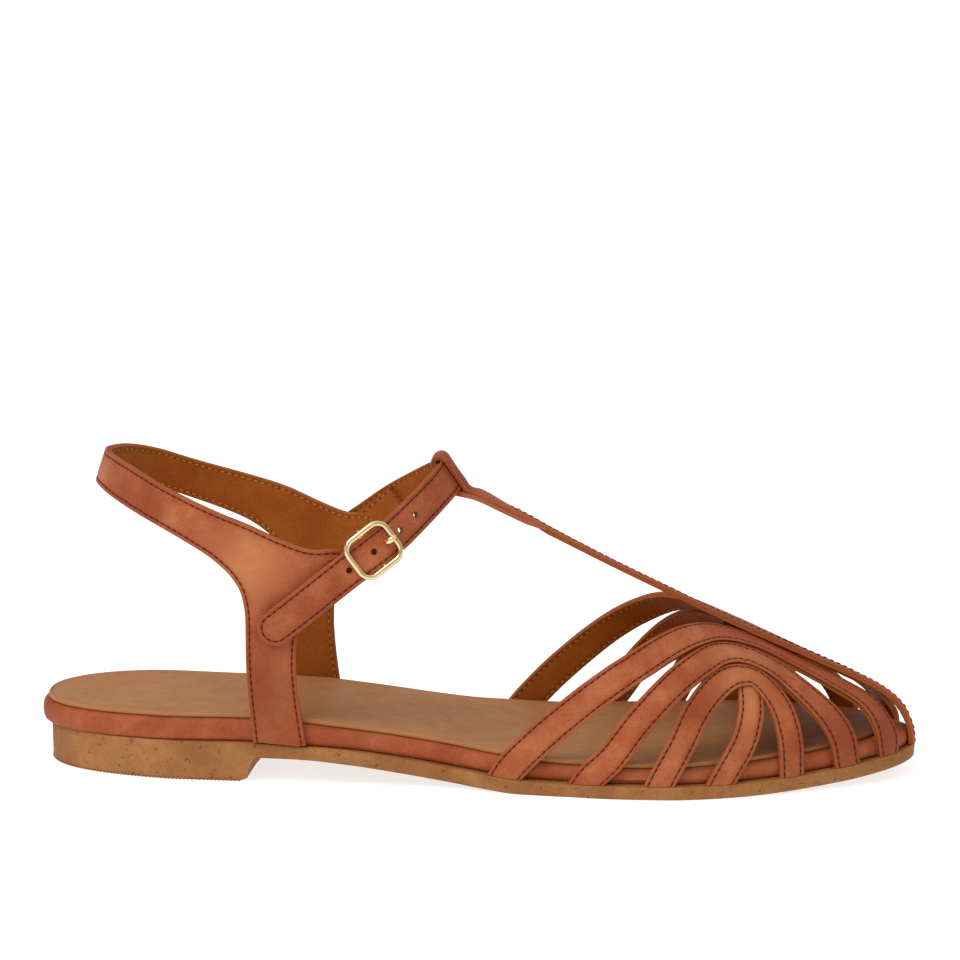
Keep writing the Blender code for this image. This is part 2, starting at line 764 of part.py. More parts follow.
def strap_place(along):
    """Height, rise and tilt of the ankle strap at a distance along the oval."""
    return [along] + [smooth(ANKLE_STRAP, along, column) for column in (1, 2, 3)]


def strap_frame(along, rise=None):
    """Middle of the ankle strap's inner face, its direction, its width direction and its normal."""
    step = 0.5
    wrap = OVAL[-1][0]

    def centre(a):
        _, z, own_rise, tilt = strap_place(a)
        point, flat = oval_point(a if a <= wrap / 2 else a - wrap)
        turn = math.radians(tilt)
        normal = flat * math.cos(turn) + Vector((0, 0, 1)) * math.sin(turn)
        return point + flat * (own_rise if rise is None else rise) + Vector((0, 0, z)), normal

    point, normal = centre(along)
    ahead, _ = centre(along + step)
    behind, _ = centre(along - step)
    direction = (ahead - behind).normalized()
    normal = (normal - direction * normal.dot(direction)).normalized()
    return point, direction, direction.cross(normal).normalized(), normal


def make_ankle_strap():
    start, end = ANKLE_STRAP[0][0], ANKLE_STRAP[-1][0]
    steps = 52
    half = ANKLE_STRAP_WIDTH / 2
    outer, inner = [], []
    for i in range(steps + 1):
        along = start + (end - start) * i / steps
        add_strap_row(outer, inner, along, half)
    tip_steps = 5
    for i in range(1, tip_steps + 1):
        turn = math.pi / 2 * i / tip_steps
        beyond = -half * math.sin(turn) * TIP_ROUNDNESS
        add_strap_row(outer, inner, start, half, beyond, max(TIP_END, math.cos(turn)), True)
    made = sheet("ankle_strap", outer, inner)
    holes = [strap_hole(PRONG_HOLE + HOLE_PITCH * k) for k in (-2, -1, 1, 2)]
    made = combine(made, holes + [prong_hole()], "DIFFERENCE")
    return finish(made, material("strap_leather", (0.43, 0.122, 0.054), 0.48))


def add_strap_row(outer, inner, along, half, beyond=0.0, narrow=1.0, first=False):
    """Adds one row across the ankle strap; a row of the rounded tip lies beyond the start."""
    point, direction, across, normal = strap_frame(along)
    row = [point + direction * beyond + across * half * narrow * k for k in (-1.0, 0.0, 1.0)]
    place = 0 if first else len(outer)
    outer.insert(place, [p + normal * BAND_THICKNESS for p in row])
    inner.insert(place, row)


def strap_hole(distance):
    point, _, _, normal = strap_frame(BUCKLE_ALONG + distance * OVAL_SHARE)
    return rod("hole", point - normal * 2, point + normal * 4, HOLE_RADIUS, 12)


def loop_place(beside, width_offset, height):
    """Point beside the middle of the T bar, in the ankle strap's section at its front: an offset across
    the strap and a height over the middle of its thickness."""
    front = OVAL[-1][0] / 2 + T_BAR_Y[0] - OVAL_MIDDLE[1]
    point, _, across, normal = strap_frame(front + beside)
    return point + across * width_offset + normal * (BAND_THICKNESS / 2 + height)


def t_bar_loop():
    """The T bar's end, folded over the ankle strap and back under itself."""
    clear = BAND_THICKNESS / 2 + GAP + LOOP_WALL / 2
    half = ANKLE_STRAP_WIDTH / 2
    top = half + 1.5 * GAP + LOOP_WALL / 2
    places = [
        (half + 1.2, clear - 0.1), (half - 1.0, clear), (0.0, clear), (1.0 - half, clear),
        (0.4 - top, clear * 0.8), (-top, 0.0), (0.4 - top, -clear * 0.8),
        (1.0 - half, -clear), (0.0, -clear), (half - 1.0, -clear), (half + 1.4, 0.5 - clear),
    ]
    rows = [Vector(row) for row in T_BAR]
    lines = []
    for k in (-0.5, -0.25, 0.0, 0.25, 0.5):
        beside = (T_BAR_WIDTH - 0.2) * k
        ends = []
        for row, layer in ((2, 1), (1, 1), (1, -1), (2, -1)):
            centre, side, face = ribbon_frame(rows, row)
            ends.append(centre + side * beside + face * layer * LOOP_LAYERS_APART / 2)
        lines.append(spline(ends[:2] + [loop_place(beside, w, h) for w, h in places] + ends[2:], 3))
    outer, inner = [], []
    for i in range(len(lines[0])):
        before, after = lines[2][max(0, i - 1)], lines[2][min(len(lines[2]) - 1, i + 1)]
        face = (after - before).cross(lines[-1][i] - lines[0][i]).normalized()
        outer.append([line[i] + face * LOOP_WALL / 2 for line in lines])
        inner.append([line[i] - face * LOOP_WALL / 2 for line in lines])
    return sheet("loop", outer, inner)


# Buckle

def buckle_point(along, across, height):
    """Point in the buckle's own axes: along the strap, across it, and out from the centre bar."""
    point, direction, side, normal = strap_frame(BUCKLE_ALONG)
    base = point - normal * (SLEEVE_RADIUS + GAP)
    return base + direction * along + side * across + normal * height


def sleeve():
    half = TAB_WIDTH / 2 - 0.1
    return rod("sleeve", buckle_point(0, -half, 0), buckle_point(0, half, 0), SLEEVE_RADIUS, 20)


def sleeve_bore():
    reach = TAB_WIDTH
    radius = CENTRE_BAR_RADIUS + GAP
    return rod("bore", buckle_point(0, -reach, 0), buckle_point(0, reach, 0), radius, 16)


def block(name, low, high):
    """A box in the buckle's axes."""
    corners = [(x, y, z) for x in (low[0], high[0]) for y in (low[1], high[1]) for z in (low[2], high[2])]
    faces = [(0, 1, 3, 2), (4, 6, 7, 5), (0, 4, 5, 1), (2, 3, 7, 6), (0, 2, 6, 4), (1, 5, 7, 3)]
    return solid(name, [buckle_point(*corner) for corner in corners], faces)


def prong_slot():
    half = PRONG_SLOT / 2
    return block("slot", (-SLEEVE_RADIUS - 1.2, -half, -4.0), (SLEEVE_RADIUS + 1.0, half, 4.0))


def rounded_rectangle(length, width, corner, steps=5):
    points = []
    for quarter, (sx, sy) in enumerate(((1, 1), (-1, 1), (-1, -1), (1, -1))):
        centre = Vector((sx * (length / 2 - corner), sy * (width / 2 - corner)))
        for i in range(steps + 1):
            turn = math.pi / 2 * (quarter + i / steps)
            points.append(centre + corner * Vector((math.cos(turn), math.sin(turn))))
    return points


def make_buckle_frame():
    bevel = BAR_BEVEL
    levels = [
        (BUCKLE_BAR - bevel, 0.0), (bevel, 0.0), (0.0, bevel), (0.0, BUCKLE_HEIGHT - bevel),
        (bevel, BUCKLE_HEIGHT), (BUCKLE_BAR - bevel, BUCKLE_HEIGHT),
        (BUCKLE_BAR, BUCKLE_HEIGHT - bevel), (BUCKLE_BAR, bevel),
    ]
    loops = []
    for inset, height in levels:
        outline = rounded_rectangle(BUCKLE_LENGTH - 2 * inset, BUCKLE_WIDTH - 2 * inset, BUCKLE_CORNER - inset)
        loops.append([buckle_point(p.x, p.y, RING_UNDER + height) for p in outline])
    count = len(loops[0])
    points = [p for loop in loops for p in loop]
    faces = []
    for level in range(len(loops)):
        a, b = level * count, (level + 1) % len(loops) * count
        faces += [(a + i, a + (i + 1) % count, b + (i + 1) % count, b + i) for i in range(count)]
    ring_object = solid("buckle_frame", points, faces)
    reach = BUCKLE_WIDTH / 2 - BUCKLE_BAR / 2
    pieces = [rod("centre_bar", buckle_point(0, -reach - 0.4, 0), buckle_point(0, reach + 0.4, 0),
                  CENTRE_BAR_RADIUS)]
    for side in (-1, 1):
        foot = buckle_point(0, side * reach, -0.3)
        head = buckle_point(0, side * reach, RING_UNDER + BUCKLE_HEIGHT / 2)
        pieces.append(rod("leg", foot, head, LEG_RADIUS, 12))
    made = combine(ring_object, pieces, "UNION")
    return finish(made, material("pale_brass", (0.83, 0.66, 0.32), 0.25, 1.0), 30)


def prong_tube(name, radius, steps):
    """A round wire along the prong's path, in the plane across the centre bar."""
    line = spline(PRONG_PATH, steps)
    sides = 10
    points, faces = [], []
    for i, here in enumerate(line):
        before, after = line[max(0, i - 1)], line[min(len(line) - 1, i + 1)]
        along = (after - before).normalized()
        for k in range(sides):
            turn = math.tau * k / sides
            out = radius * math.cos(turn)
            side = radius * math.sin(turn)
            points.append(buckle_point(here.x - along.y * out, side, here.y + along.x * out))
    for i in range(len(line) - 1):
        for k in range(sides):
            a, b = i * sides + k, i * sides + (k + 1) % sides
            faces.append((a, b, b + sides, a + sides))
    faces += [tuple(range(sides)), tuple(range(len(points) - sides, len(points)))]
    return solid(name, points, faces)


def prong_hole():
    return prong_tube("prong_hole", PRONG_RADIUS + 0.45, 3)


def make_buckle_prong():
    eye_half = PRONG_SLOT / 2 - GAP
    eye_ends = buckle_point(0, -eye_half, 0), buckle_point(0, eye_half, 0)
    eye = rod("buckle_prong", *eye_ends, PRONG_EYE + PRONG_EYE_WALL, 20)
    eye = combine(eye, [prong_tube("wire", PRONG_RADIUS, 4)], "UNION")
    bore = rod("bore", buckle_point(0, -4, 0), buckle_point(0, 4, 0), PRONG_EYE, 16)
    made = combine(eye, [bore], "DIFFERENCE")
    return finish(made, material("prong_brass", (0.83, 0.66, 0.32), 0.25, 1.0), 30)


def main():
    for old in list(bpy.data.objects):
        bpy.data.objects.remove(old)
    make_outsole()
    make_footbed()
    make_insole()
    make_upper()
    make_heel_band()
    make_ankle_strap()
    make_buckle_frame()
    make_buckle_prong()


main()
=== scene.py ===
# %% [markdown]
# # A t strap sandal
#
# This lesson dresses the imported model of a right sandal: a cage of arched straps over the toes, a bar up
# to a buckled ankle strap, and a heel band on two posts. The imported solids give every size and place.
# Here each strap is laid again on the same last, in leather and lining, with its rounded edges, its
# stitched grooves and its creases, and each surface gets its finish.

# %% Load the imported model
import math

import bmesh
import bpy
import numpy as np
from mathutils import Matrix, Vector


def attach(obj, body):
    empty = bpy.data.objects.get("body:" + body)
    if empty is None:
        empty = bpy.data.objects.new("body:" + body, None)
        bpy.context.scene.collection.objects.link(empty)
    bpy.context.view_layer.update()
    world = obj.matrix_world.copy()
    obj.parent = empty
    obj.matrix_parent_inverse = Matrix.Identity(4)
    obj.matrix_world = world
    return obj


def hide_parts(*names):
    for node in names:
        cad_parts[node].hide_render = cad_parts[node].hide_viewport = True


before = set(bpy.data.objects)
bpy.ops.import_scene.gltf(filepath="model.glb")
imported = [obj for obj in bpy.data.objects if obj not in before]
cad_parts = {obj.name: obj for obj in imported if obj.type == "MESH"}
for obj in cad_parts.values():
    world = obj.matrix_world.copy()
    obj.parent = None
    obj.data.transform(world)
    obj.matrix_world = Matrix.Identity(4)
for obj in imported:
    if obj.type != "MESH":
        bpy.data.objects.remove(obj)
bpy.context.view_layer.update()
MM = 0.001
print("packed nodes:", sorted(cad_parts))

# %% [markdown]
# ## The camera
#
# The photograph was taken from a little above and 5 degrees in front of the outer side. The camera
# stands 1.3 m from the origin. It is turned, not shifted, until the origin falls on its own pixel.

# %% Place the camera
CAMERA_AZIMUTH = math.radians(5.0)
CAMERA_ELEVATION = math.radians(13.6)
CAMERA_DISTANCE = 1.3
PHOTO_SIZE = 960
ORIGIN_PIXEL = (477.7, 760.1)
PIXELS_PER_MM = 3.36
SENSOR_MM = 36.0


def make_camera():
    """A camera that sees the origin at ORIGIN_PIXEL, at the photograph's scale."""
    back = Vector((
        math.sin(CAMERA_AZIMUTH) * math.cos(CAMERA_ELEVATION),
        -math.cos(CAMERA_AZIMUTH) * math.cos(CAMERA_ELEVATION),
        math.sin(CAMERA_ELEVATION),
    ))
    focal_pixels = PIXELS_PER_MM * CAMERA_DISTANCE / MM
    right = (-back).cross(Vector((0, 0, 1))).normalized()
    up = right.cross(-back)
    forward = (-back - up * (PHOTO_SIZE / 2 - ORIGIN_PIXEL[1]) / focal_pixels).normalized()
    forward = (forward - right * (ORIGIN_PIXEL[0] - PHOTO_SIZE / 2) / focal_pixels).normalized()
    right = forward.cross(Vector((0, 0, 1))).normalized()
    up = right.cross(forward)
    camera = bpy.data.objects.new("camera", bpy.data.cameras.new("camera"))
    bpy.context.collection.objects.link(camera)
    turn = Matrix((right, up, -forward)).transposed().to_4x4()
    camera.matrix_world = Matrix.Translation(back * CAMERA_DISTANCE) @ turn
    camera.data.sensor_width = SENSOR_MM
    camera.data.lens = SENSOR_MM * focal_pixels / PHOTO_SIZE
    camera.data.clip_start = 0.02
    bpy.context.scene.camera = camera
    return camera


print("lens in mm:", round(make_camera().data.lens, 1))

# %% [markdown]
# ## Floor and light
#
# The shoe stands on a white floor that runs out of the picture. The floor glows a little, like a light
# table, so its shadows stay pale. The sky is bright overhead and dimmer at the horizon, which shapes
# the leather and gives the metal something to mirror. Two soft lamps stand at the front.

# %% Lay the floor and hang the lights
FLOOR_SIZE = 14.0
FLOOR_COLOUR = (178, 178, 178)
FLOOR_GLOW = 0.74
SKY_HORIZON = 0.36
SKY_ZENITH = 0.82
SKY_FULL_AT = 0.8          # how far up the sky reaches its full brightness
# Columns: name, place in m, size in m, power in W
LAMPS = [
    ("key_lamp", (-0.8, -0.75, 1.25), 0.9, 11.0),
    ("front_lamp", (-0.1, -1.5, 0.9), 0.8, 3.0),
]


def linear(red, green, blue):
    """A colour that is given as it looks, 0 to 255, in the linear values that shaders take."""
    def one(value):
        value /= 255
        return value / 12.92 if value <= 0.04045 else ((value + 0.055) / 1.055) ** 2.4
    return (one(red), one(green), one(blue), 1.0)


def new_material(name):
    """A new material, with its node tree and its Principled shader."""
    made = bpy.data.materials.new(name)
    made.use_nodes = True
    return made, made.node_tree, made.node_tree.nodes["Principled BSDF"]


def make_floor():
    bpy.ops.object.select_all(action="DESELECT")
    bpy.ops.mesh.primitive_plane_add(size=FLOOR_SIZE)
    floor = bpy.context.object
    floor.name = "floor"
    white, _, shader = new_material("floor_white")
    shader.inputs["Base Color"].default_value = linear(*FLOOR_COLOUR)
    shader.inputs["Roughness"].default_value = 0.9
    shader.inputs["Specular IOR Level"].default_value = 0.1
    shader.inputs["Emission Color"].default_value = (1, 1, 1, 1)
    shader.inputs["Emission Strength"].default_value = FLOOR_GLOW
    floor.data.materials.append(white)


def make_light():
    world = bpy.data.worlds.new("studio")
    world.use_nodes = True
    tree = world.node_tree
    direction = tree.nodes.new("ShaderNodeTexCoord").outputs["Generated"]
    parts = tree.nodes.new("ShaderNodeSeparateXYZ")
    tree.links.new(direction, parts.inputs["Vector"])
    rise = tree.nodes.new("ShaderNodeMapRange")
    rise.interpolation_type = "SMOOTHSTEP"
    limits = {"From Min": 0.0, "From Max": SKY_FULL_AT, "To Min": SKY_HORIZON, "To Max": SKY_ZENITH}
    for label, number in limits.items():
        rise.inputs[label].default_value = number
    tree.links.new(parts.outputs["Z"], rise.inputs["Value"])
    tree.links.new(rise.outputs["Result"], tree.nodes["Background"].inputs["Strength"])
    tree.nodes["Background"].inputs["Color"].default_value = (1, 1, 1, 1)
    bpy.context.scene.world = world
    for name, place, size, power in LAMPS:
        lamp = bpy.data.objects.new(name, bpy.data.lights.new(name, "AREA"))
        bpy.context.collection.objects.link(lamp)
        lamp.location = place
        lamp.rotation_euler = (-Vector(place)).to_track_quat("-Z", "Y").to_euler()
        lamp.data.size = size
        lamp.data.energy = power
    bpy.context.scene.view_settings.view_transform = "Standard"


make_floor()
make_light()
print("lamps:", [row[0] for row in LAMPS])

# %% [markdown]
# ## Shared effects
#
# Two effects serve several finishes, so each is a node group that is built once. `mottle` gives the
# cloudy patches of dyed leather. `grain` gives the fine pebbles of its surface as a height for a bump.

# %% Build the shared node groups


def new_group(name, inputs, outputs):
    """A shader node group with named number inputs and outputs, ready for its nodes."""
    group = bpy.data.node_groups.new(name, "ShaderNodeTree")
    group.interface.new_socket("Vector", in_out="INPUT", socket_type="NodeSocketVector")
    for label, value in inputs:
        socket = group.interface.new_socket(label, in_out="INPUT", socket_type="NodeSocketFloat")
        socket.default_value = value
    for label in outputs:
        group.interface.new_socket(label, in_out="OUTPUT", socket_type="NodeSocketFloat")
    return group, group.nodes.new("NodeGroupInput"), group.nodes.new("NodeGroupOutput")


def feed(tree, socket, value):
    """Sets a socket to a number or a colour, or links another node's output to it."""
    if isinstance(value, (int, float, tuple)):
        socket.default_value = value
    else:
        tree.links.new(value, socket)


def math_node(tree, operation, first, second=None, clamp=False):
    """A Math node in a tree. Each value is a number or another node's output."""
    node = tree.nodes.new("ShaderNodeMath")
    node.operation = operation
    node.use_clamp = clamp
    feed(tree, node.inputs[0], first)
    if second is not None:
        feed(tree, node.inputs[1], second)
    return node.outputs[0]


def noise_node(tree, vector, scale, detail=3.0, rough=0.55, distortion=0.0):
    """Noise from 0 to 1. A larger scale makes it finer."""
    node = tree.nodes.new("ShaderNodeTexNoise")
    node.inputs["Detail"].default_value = detail
    node.inputs["Roughness"].default_value = rough
    node.inputs["Distortion"].default_value = distortion
    tree.links.new(vector, node.inputs["Vector"])
    feed(tree, node.inputs["Scale"], scale)
    return node.outputs["Fac"]


def range_node(tree, value, low, high, to_low=0.0, to_high=1.0):
    """A value mapped from low...high to to_low...to_high, softly and clamped."""
    node = tree.nodes.new("ShaderNodeMapRange")
    node.interpolation_type = "SMOOTHSTEP"
    tree.links.new(value, node.inputs["Value"])
    limits = {"From Min": low, "From Max": high, "To Min": to_low, "To Max": to_high}
    for label, number in limits.items():
        node.inputs[label].default_value = number
    return node.outputs["Result"]


def build_mottle():
    """Cloudy patches, the small clouds on top of the large ones, from 0 to 1."""
    inputs = [("Scale", 60.0), ("Small Scale", 260.0)]
    group, start, end = new_group("mottle", inputs, ["Large", "Small"])
    vector = start.outputs["Vector"]
    large = noise_node(group, vector, start.outputs["Scale"], 4.0, 0.6, 0.6)
    small = noise_node(group, vector, start.outputs["Small Scale"], 4.0, 0.65, 0.3)
    group.links.new(range_node(group, large, 0.34, 0.66), end.inputs["Large"])
    group.links.new(range_node(group, small, 0.33, 0.68), end.inputs["Small"])
    return group


def build_grain():
    """Pebbled cells with finer noise between them, as a height from 0 to 1."""
    group, start, end = new_group("grain", [("Cells", 1400.0), ("Fine", 4200.0)], ["Height"])
    cells = group.nodes.new("ShaderNodeTexVoronoi")
    cells.feature = "SMOOTH_F1"
    group.links.new(start.outputs["Vector"], cells.inputs["Vector"])
    group.links.new(start.outputs["Cells"], cells.inputs["Scale"])
    fine = noise_node(group, start.outputs["Vector"], start.outputs["Fine"], 2.0)
    pebbles = math_node(group, "MULTIPLY", cells.outputs["Distance"], 0.7)
    pores = math_node(group, "MULTIPLY", fine, 0.5)
    group.links.new(math_node(group, "ADD", pebbles, pores), end.inputs["Height"])
    return group


MOTTLE = build_mottle()
GRAIN = build_grain()
print("node groups:", MOTTLE.name, GRAIN.name)

# %% [markdown]
# ## Leather
#
# Each strap is terracotta leather on a brown lining. The dye is uneven, so patches run from dark rust to
# light sand. The piece itself carries two numbers per point. `edge` is its distance from the strap's cut
# edge in millimetres: the raw edge is light, and the groove in which the thread lies gets painted shade.
# The other number says where the leather is painted lighter or darker: painted highlights where light
# falls on tops, painted shade where sides turn from it, and some uneven dye.

# %% Mix the leathers
MIX_SOCKETS = (0, 6, 7)    # factor and the two colours, when a Mix node mixes colours
MIX_RESULT = 2
STITCH_IN = 1.25           # mm from a strap's edge to its stitches
GROOVE_HALF = 0.45         # half the width of the groove in which they lie, in mm
# Painted shade in the stitch groove, as a share of the dark dye in red, green and blue
GROOVE_SHADE = (0.28, 0.2, 0.2)
BURNISHED_FROM = 1.0       # mm from the edge; the dark rim of the dye fades from here
BURNISHED_TO = 3.2
WORN_FROM = 0.06           # mm from the edge; the raw edge fades from here
WORN_TO = 0.3
SPECKLE_SCALE = 2400.0
# How strongly the spots of painted highlight and painted shade, with some uneven dye, change the colour
LIGHT_AND_DYE_STRENGTH = 0.9
# Darkest colour of the spots, as a share of the dark dye: mostly painted shade, partly uneven dye
SHADE_AND_DYE_DARKNESS = 0.72


def object_place(tree):
    """Each point's place on its piece, in metres."""
    return tree.nodes.new("ShaderNodeTexCoord").outputs["Object"]


def piece_number(tree, name):
    """The number that a piece carries for each point."""
    node = tree.nodes.new("ShaderNodeAttribute")
    node.attribute_name = name
    return node.outputs["Fac"]


def place_group(tree, group, vector, values):
    """A shared node group in a tree, with its own values."""
    node = tree.nodes.new("ShaderNodeGroup")
    node.node_tree = group
    tree.links.new(vector, node.inputs["Vector"])
    for label, number in values.items():
        node.inputs[label].default_value = number
    return node


def mix_colours(tree, factor, first, second, how="MIX"):
    """Two colours mixed by a factor. Each is a colour or another node's output."""
    node = tree.nodes.new("ShaderNodeMix")
    node.data_type = "RGBA"
    node.blend_type = how
    for place, value in zip(MIX_SOCKETS, (factor, first, second)):
        feed(tree, node.inputs[place], value)
    return node.outputs[MIX_RESULT]


def bump_node(tree, height, strength, distance):
    """A surface made rough by a height. The distance is its depth in metres."""
    node = tree.nodes.new("ShaderNodeBump")
    node.inputs["Strength"].default_value = strength
    node.inputs["Distance"].default_value = distance
    tree.links.new(height, node.inputs["Height"])
    return node.outputs["Normal"]


def darker(colour, *shares):
    """A colour with its red, green and blue taken down to a share each."""
    return (*[value * share for value, share in zip(colour, shares)], 1.0)


def make_leather(name, dark, base, light, raw_edge, roughness, grain, has_edge=True, gloss=0.2):
    """Mottled dyed leather. With has_edge it reads the piece's own distance to its cut edge."""
    made, tree, shader = new_material(name)
    place = object_place(tree)
    clouds = place_group(tree, MOTTLE, place, {"Scale": 30.0, "Small Scale": 120.0})
    colour = mix_colours(tree, clouds.outputs["Large"], dark, base)
    lighter = math_node(tree, "MULTIPLY", clouds.outputs["Small"], clouds.outputs["Large"])
    colour = mix_colours(tree, math_node(tree, "MULTIPLY", lighter, 0.55), colour, light)
    speckle = range_node(tree, noise_node(tree, place, SPECKLE_SCALE, 2.0), 0.35, 0.7, 0.86, 1.1)
    speckle_colour = tree.nodes.new("ShaderNodeCombineColor")
    for channel in ("Red", "Green", "Blue"):
        tree.links.new(speckle, speckle_colour.inputs[channel])
    colour = mix_colours(tree, 1.0, colour, speckle_colour.outputs["Color"], "MULTIPLY")
    height = place_group(tree, GRAIN, place, {"Cells": 2300.0, "Fine": 5600.0}).outputs["Height"]
    rough = range_node(tree, clouds.outputs["Small"], 0.0, 1.0, roughness + 0.06, roughness - 0.05)
    if has_edge:
        distance = piece_number(tree, "edge")
        # Spots painted lighter and darker: painted highlights where light falls on tops, painted shade on
        # sides turned from it, with some uneven dye
        painted_light_and_dye = piece_number(tree, "painted_light_and_dye")
        lighter = math_node(tree, "MULTIPLY", painted_light_and_dye, LIGHT_AND_DYE_STRENGTH, True)
        colour = mix_colours(tree, lighter, colour, light)
        deeper = math_node(tree, "MULTIPLY", painted_light_and_dye, -LIGHT_AND_DYE_STRENGTH, True)
        colour = mix_colours(tree, deeper, colour, darker(dark, SHADE_AND_DYE_DARKNESS, SHADE_AND_DYE_DARKNESS, SHADE_AND_DYE_DARKNESS))
        burnished = range_node(tree, distance, BURNISHED_FROM, BURNISHED_TO, 0.45, 0.0)
        colour = mix_colours(tree, burnished, colour, dark)
        # painted shade along the stitch groove
        off_line = math_node(tree, "ABSOLUTE", math_node(tree, "SUBTRACT", distance, STITCH_IN))
        groove = range_node(tree, off_line, 0.0, GROOVE_HALF, 0.6, 0.0)
        colour = mix_colours(tree, groove, colour, darker(dark, *GROOVE_SHADE))
        worn = range_node(tree, distance, WORN_FROM, WORN_TO, 1.0, 0.0)
        colour = mix_colours(tree, worn, colour, raw_edge)
    tree.links.new(colour, shader.inputs["Base Color"])
    tree.links.new(rough, shader.inputs["Roughness"])
    tree.links.new(bump_node(tree, height, grain, 0.0004), shader.inputs["Normal"])
    shader.inputs["Specular IOR Level"].default_value = gloss
    return made


RUST_DARK = linear(147, 64, 27)
RUST = linear(169, 83, 41)
RUST_LIGHT = linear(198, 124, 78)
RAW_EDGE = linear(160, 88, 50)
T_BAR_EDGE = linear(164, 88, 54)
STRAP_LEATHER = make_leather("strap_leather", RUST_DARK, RUST, RUST_LIGHT, RAW_EDGE, 0.46, 0.65,
                             gloss=0.22)
T_BAR_LEATHER = make_leather("t_bar_leather", RUST_DARK, RUST, RUST_LIGHT, T_BAR_EDGE, 0.46, 0.65,
                             gloss=0.22)
LINING_LEATHER = make_leather("lining_leather", linear(140, 69, 14), linear(152, 79, 20),
                              linear(164, 92, 32), linear(146, 76, 36), 0.5, 0.1, gloss=0.12)
RIM_LEATHER = make_leather("rim_leather", linear(145, 62, 28), linear(164, 81, 43),
                           linear(187, 110, 72), RAW_EDGE, 0.5, 0.4, has_edge=False)
print("leathers:", STRAP_LEATHER.name, LINING_LEATHER.name, RIM_LEATHER.name)

# %% [markdown]
# ## Insole, rubber, thread and metal
#
# The insole is smooth vegetable-tanned leather. The sole is natural rubber, full of dark specks. The
# threads are waxed, so they have a little gloss, and the buckle is pale polished brass.

# %% Mix the other finishes
# Painted shade and reddish bounce light where the toe cage stands over the insole
CAGE_SHADE_REACH = (0.068, 0.1)  # x in m over which the insole darkens under the toes


def make_insole_leather():
    """Tan leather, painted darker and redder towards the toe, as shade and reddish bounce light under the
    cage.
    """
    made, tree, shader = new_material("insole_leather")
    place = object_place(tree)
    clouds = place_group(tree, MOTTLE, place, {"Scale": 28.0, "Small Scale": 150.0})
    colour = mix_colours(tree, clouds.outputs["Large"], linear(160, 107, 62), linear(167, 114, 68))
    colour = mix_colours(tree, math_node(tree, "MULTIPLY", clouds.outputs["Small"], 0.25), colour,
                         linear(176, 124, 78))
    along = tree.nodes.new("ShaderNodeSeparateXYZ")
    tree.links.new(place, along.inputs["Vector"])
    # painted shade and red bounce light under the toe cage
    cage_shade = range_node(tree, along.outputs["X"], *CAGE_SHADE_REACH, 0.0, 0.75)
    colour = mix_colours(tree, cage_shade, colour, linear(128, 70, 40))
    tree.links.new(colour, shader.inputs["Base Color"])
    rough = range_node(tree, clouds.outputs["Small"], 0.0, 1.0, 0.6, 0.5)
    tree.links.new(rough, shader.inputs["Roughness"])
    shader.inputs["Specular IOR Level"].default_value = 0.15
    height = place_group(tree, GRAIN, place, {"Cells": 1700.0, "Fine": 5200.0}).outputs["Height"]
    tree.links.new(bump_node(tree, height, 0.1, 0.0003), shader.inputs["Normal"])
    return made


def make_rubber():
    """Natural rubber: tan, with dark specks of two sizes and a slightly rough skin."""
    made, tree, shader = new_material("natural_rubber")
    place = object_place(tree)
    clouds = place_group(tree, MOTTLE, place, {"Scale": 45.0, "Small Scale": 420.0})
    colour = mix_colours(tree, clouds.outputs["Large"], linear(144, 92, 47), linear(166, 113, 64))
    colour = mix_colours(tree, math_node(tree, "MULTIPLY", clouds.outputs["Small"], 0.35), colour,
                         linear(134, 80, 40))
    specks = range_node(tree, noise_node(tree, place, 900.0, 1.0), 0.66, 0.72, 0.0, 0.7)
    colour = mix_colours(tree, specks, colour, linear(96, 52, 26))
    dots = range_node(tree, noise_node(tree, place, 2600.0, 1.0), 0.68, 0.75, 0.0, 0.6)
    colour = mix_colours(tree, dots, colour, linear(110, 62, 34))
    tree.links.new(colour, shader.inputs["Base Color"])
    shader.inputs["Roughness"].default_value = 0.72
    shader.inputs["Specular IOR Level"].default_value = 0.25
    height = place_group(tree, GRAIN, place, {"Cells": 900.0, "Fine": 2600.0}).outputs["Height"]
    tree.links.new(bump_node(tree, height, 0.3, 0.0005), shader.inputs["Normal"])
    return made


def make_thread(name, base, light):
    """Waxed thread, a little lighter where its twist stands up."""
    made, tree, shader = new_material(name)
    twist = noise_node(tree, object_place(tree), 2200.0, 2.0)
    colour = mix_colours(tree, range_node(tree, twist, 0.3, 0.7), base, light)
    tree.links.new(colour, shader.inputs["Base Color"])
    tree.links.new(bump_node(tree, twist, 0.3, 0.0002), shader.inputs["Normal"])
    shader.inputs["Roughness"].default_value = 0.7
    shader.inputs["Specular IOR Level"].default_value = 0.1
    return made


def make_brass():
    """Polished metal with faint smudges."""
    made, tree, shader = new_material("pale_brass")
    smudge = noise_node(tree, object_place(tree), 160.0, 3.0)
    shade = range_node(tree, smudge, 0.3, 0.7)
    colour = mix_colours(tree, shade, linear(230, 206, 148), linear(241, 221, 172))
    tree.links.new(colour, shader.inputs["Base Color"])
    tree.links.new(range_node(tree, smudge, 0.3, 0.7, 0.14, 0.24), shader.inputs["Roughness"])
    shader.inputs["Metallic"].default_value = 1.0
    return made


INSOLE_LEATHER = make_insole_leather()
RUBBER = make_rubber()
DARK_THREAD = make_thread("dark_thread", linear(62, 18, 9), linear(98, 38, 20))
PALE_THREAD = make_thread("pale_thread", linear(150, 100, 36), linear(184, 140, 66))
BRASS = make_brass()
print("finishes:", len(bpy.data.materials))

# %% [markdown]
# ## Curves through a few rows
#
# The shoe's form is in short tables, nearly the same that the solids were made from, with a few rows set
# finer. `smooth` reads a table between its rows without overshooting, and `spline` runs a round curve
# through all its points.

# %% Read tables and draw curves


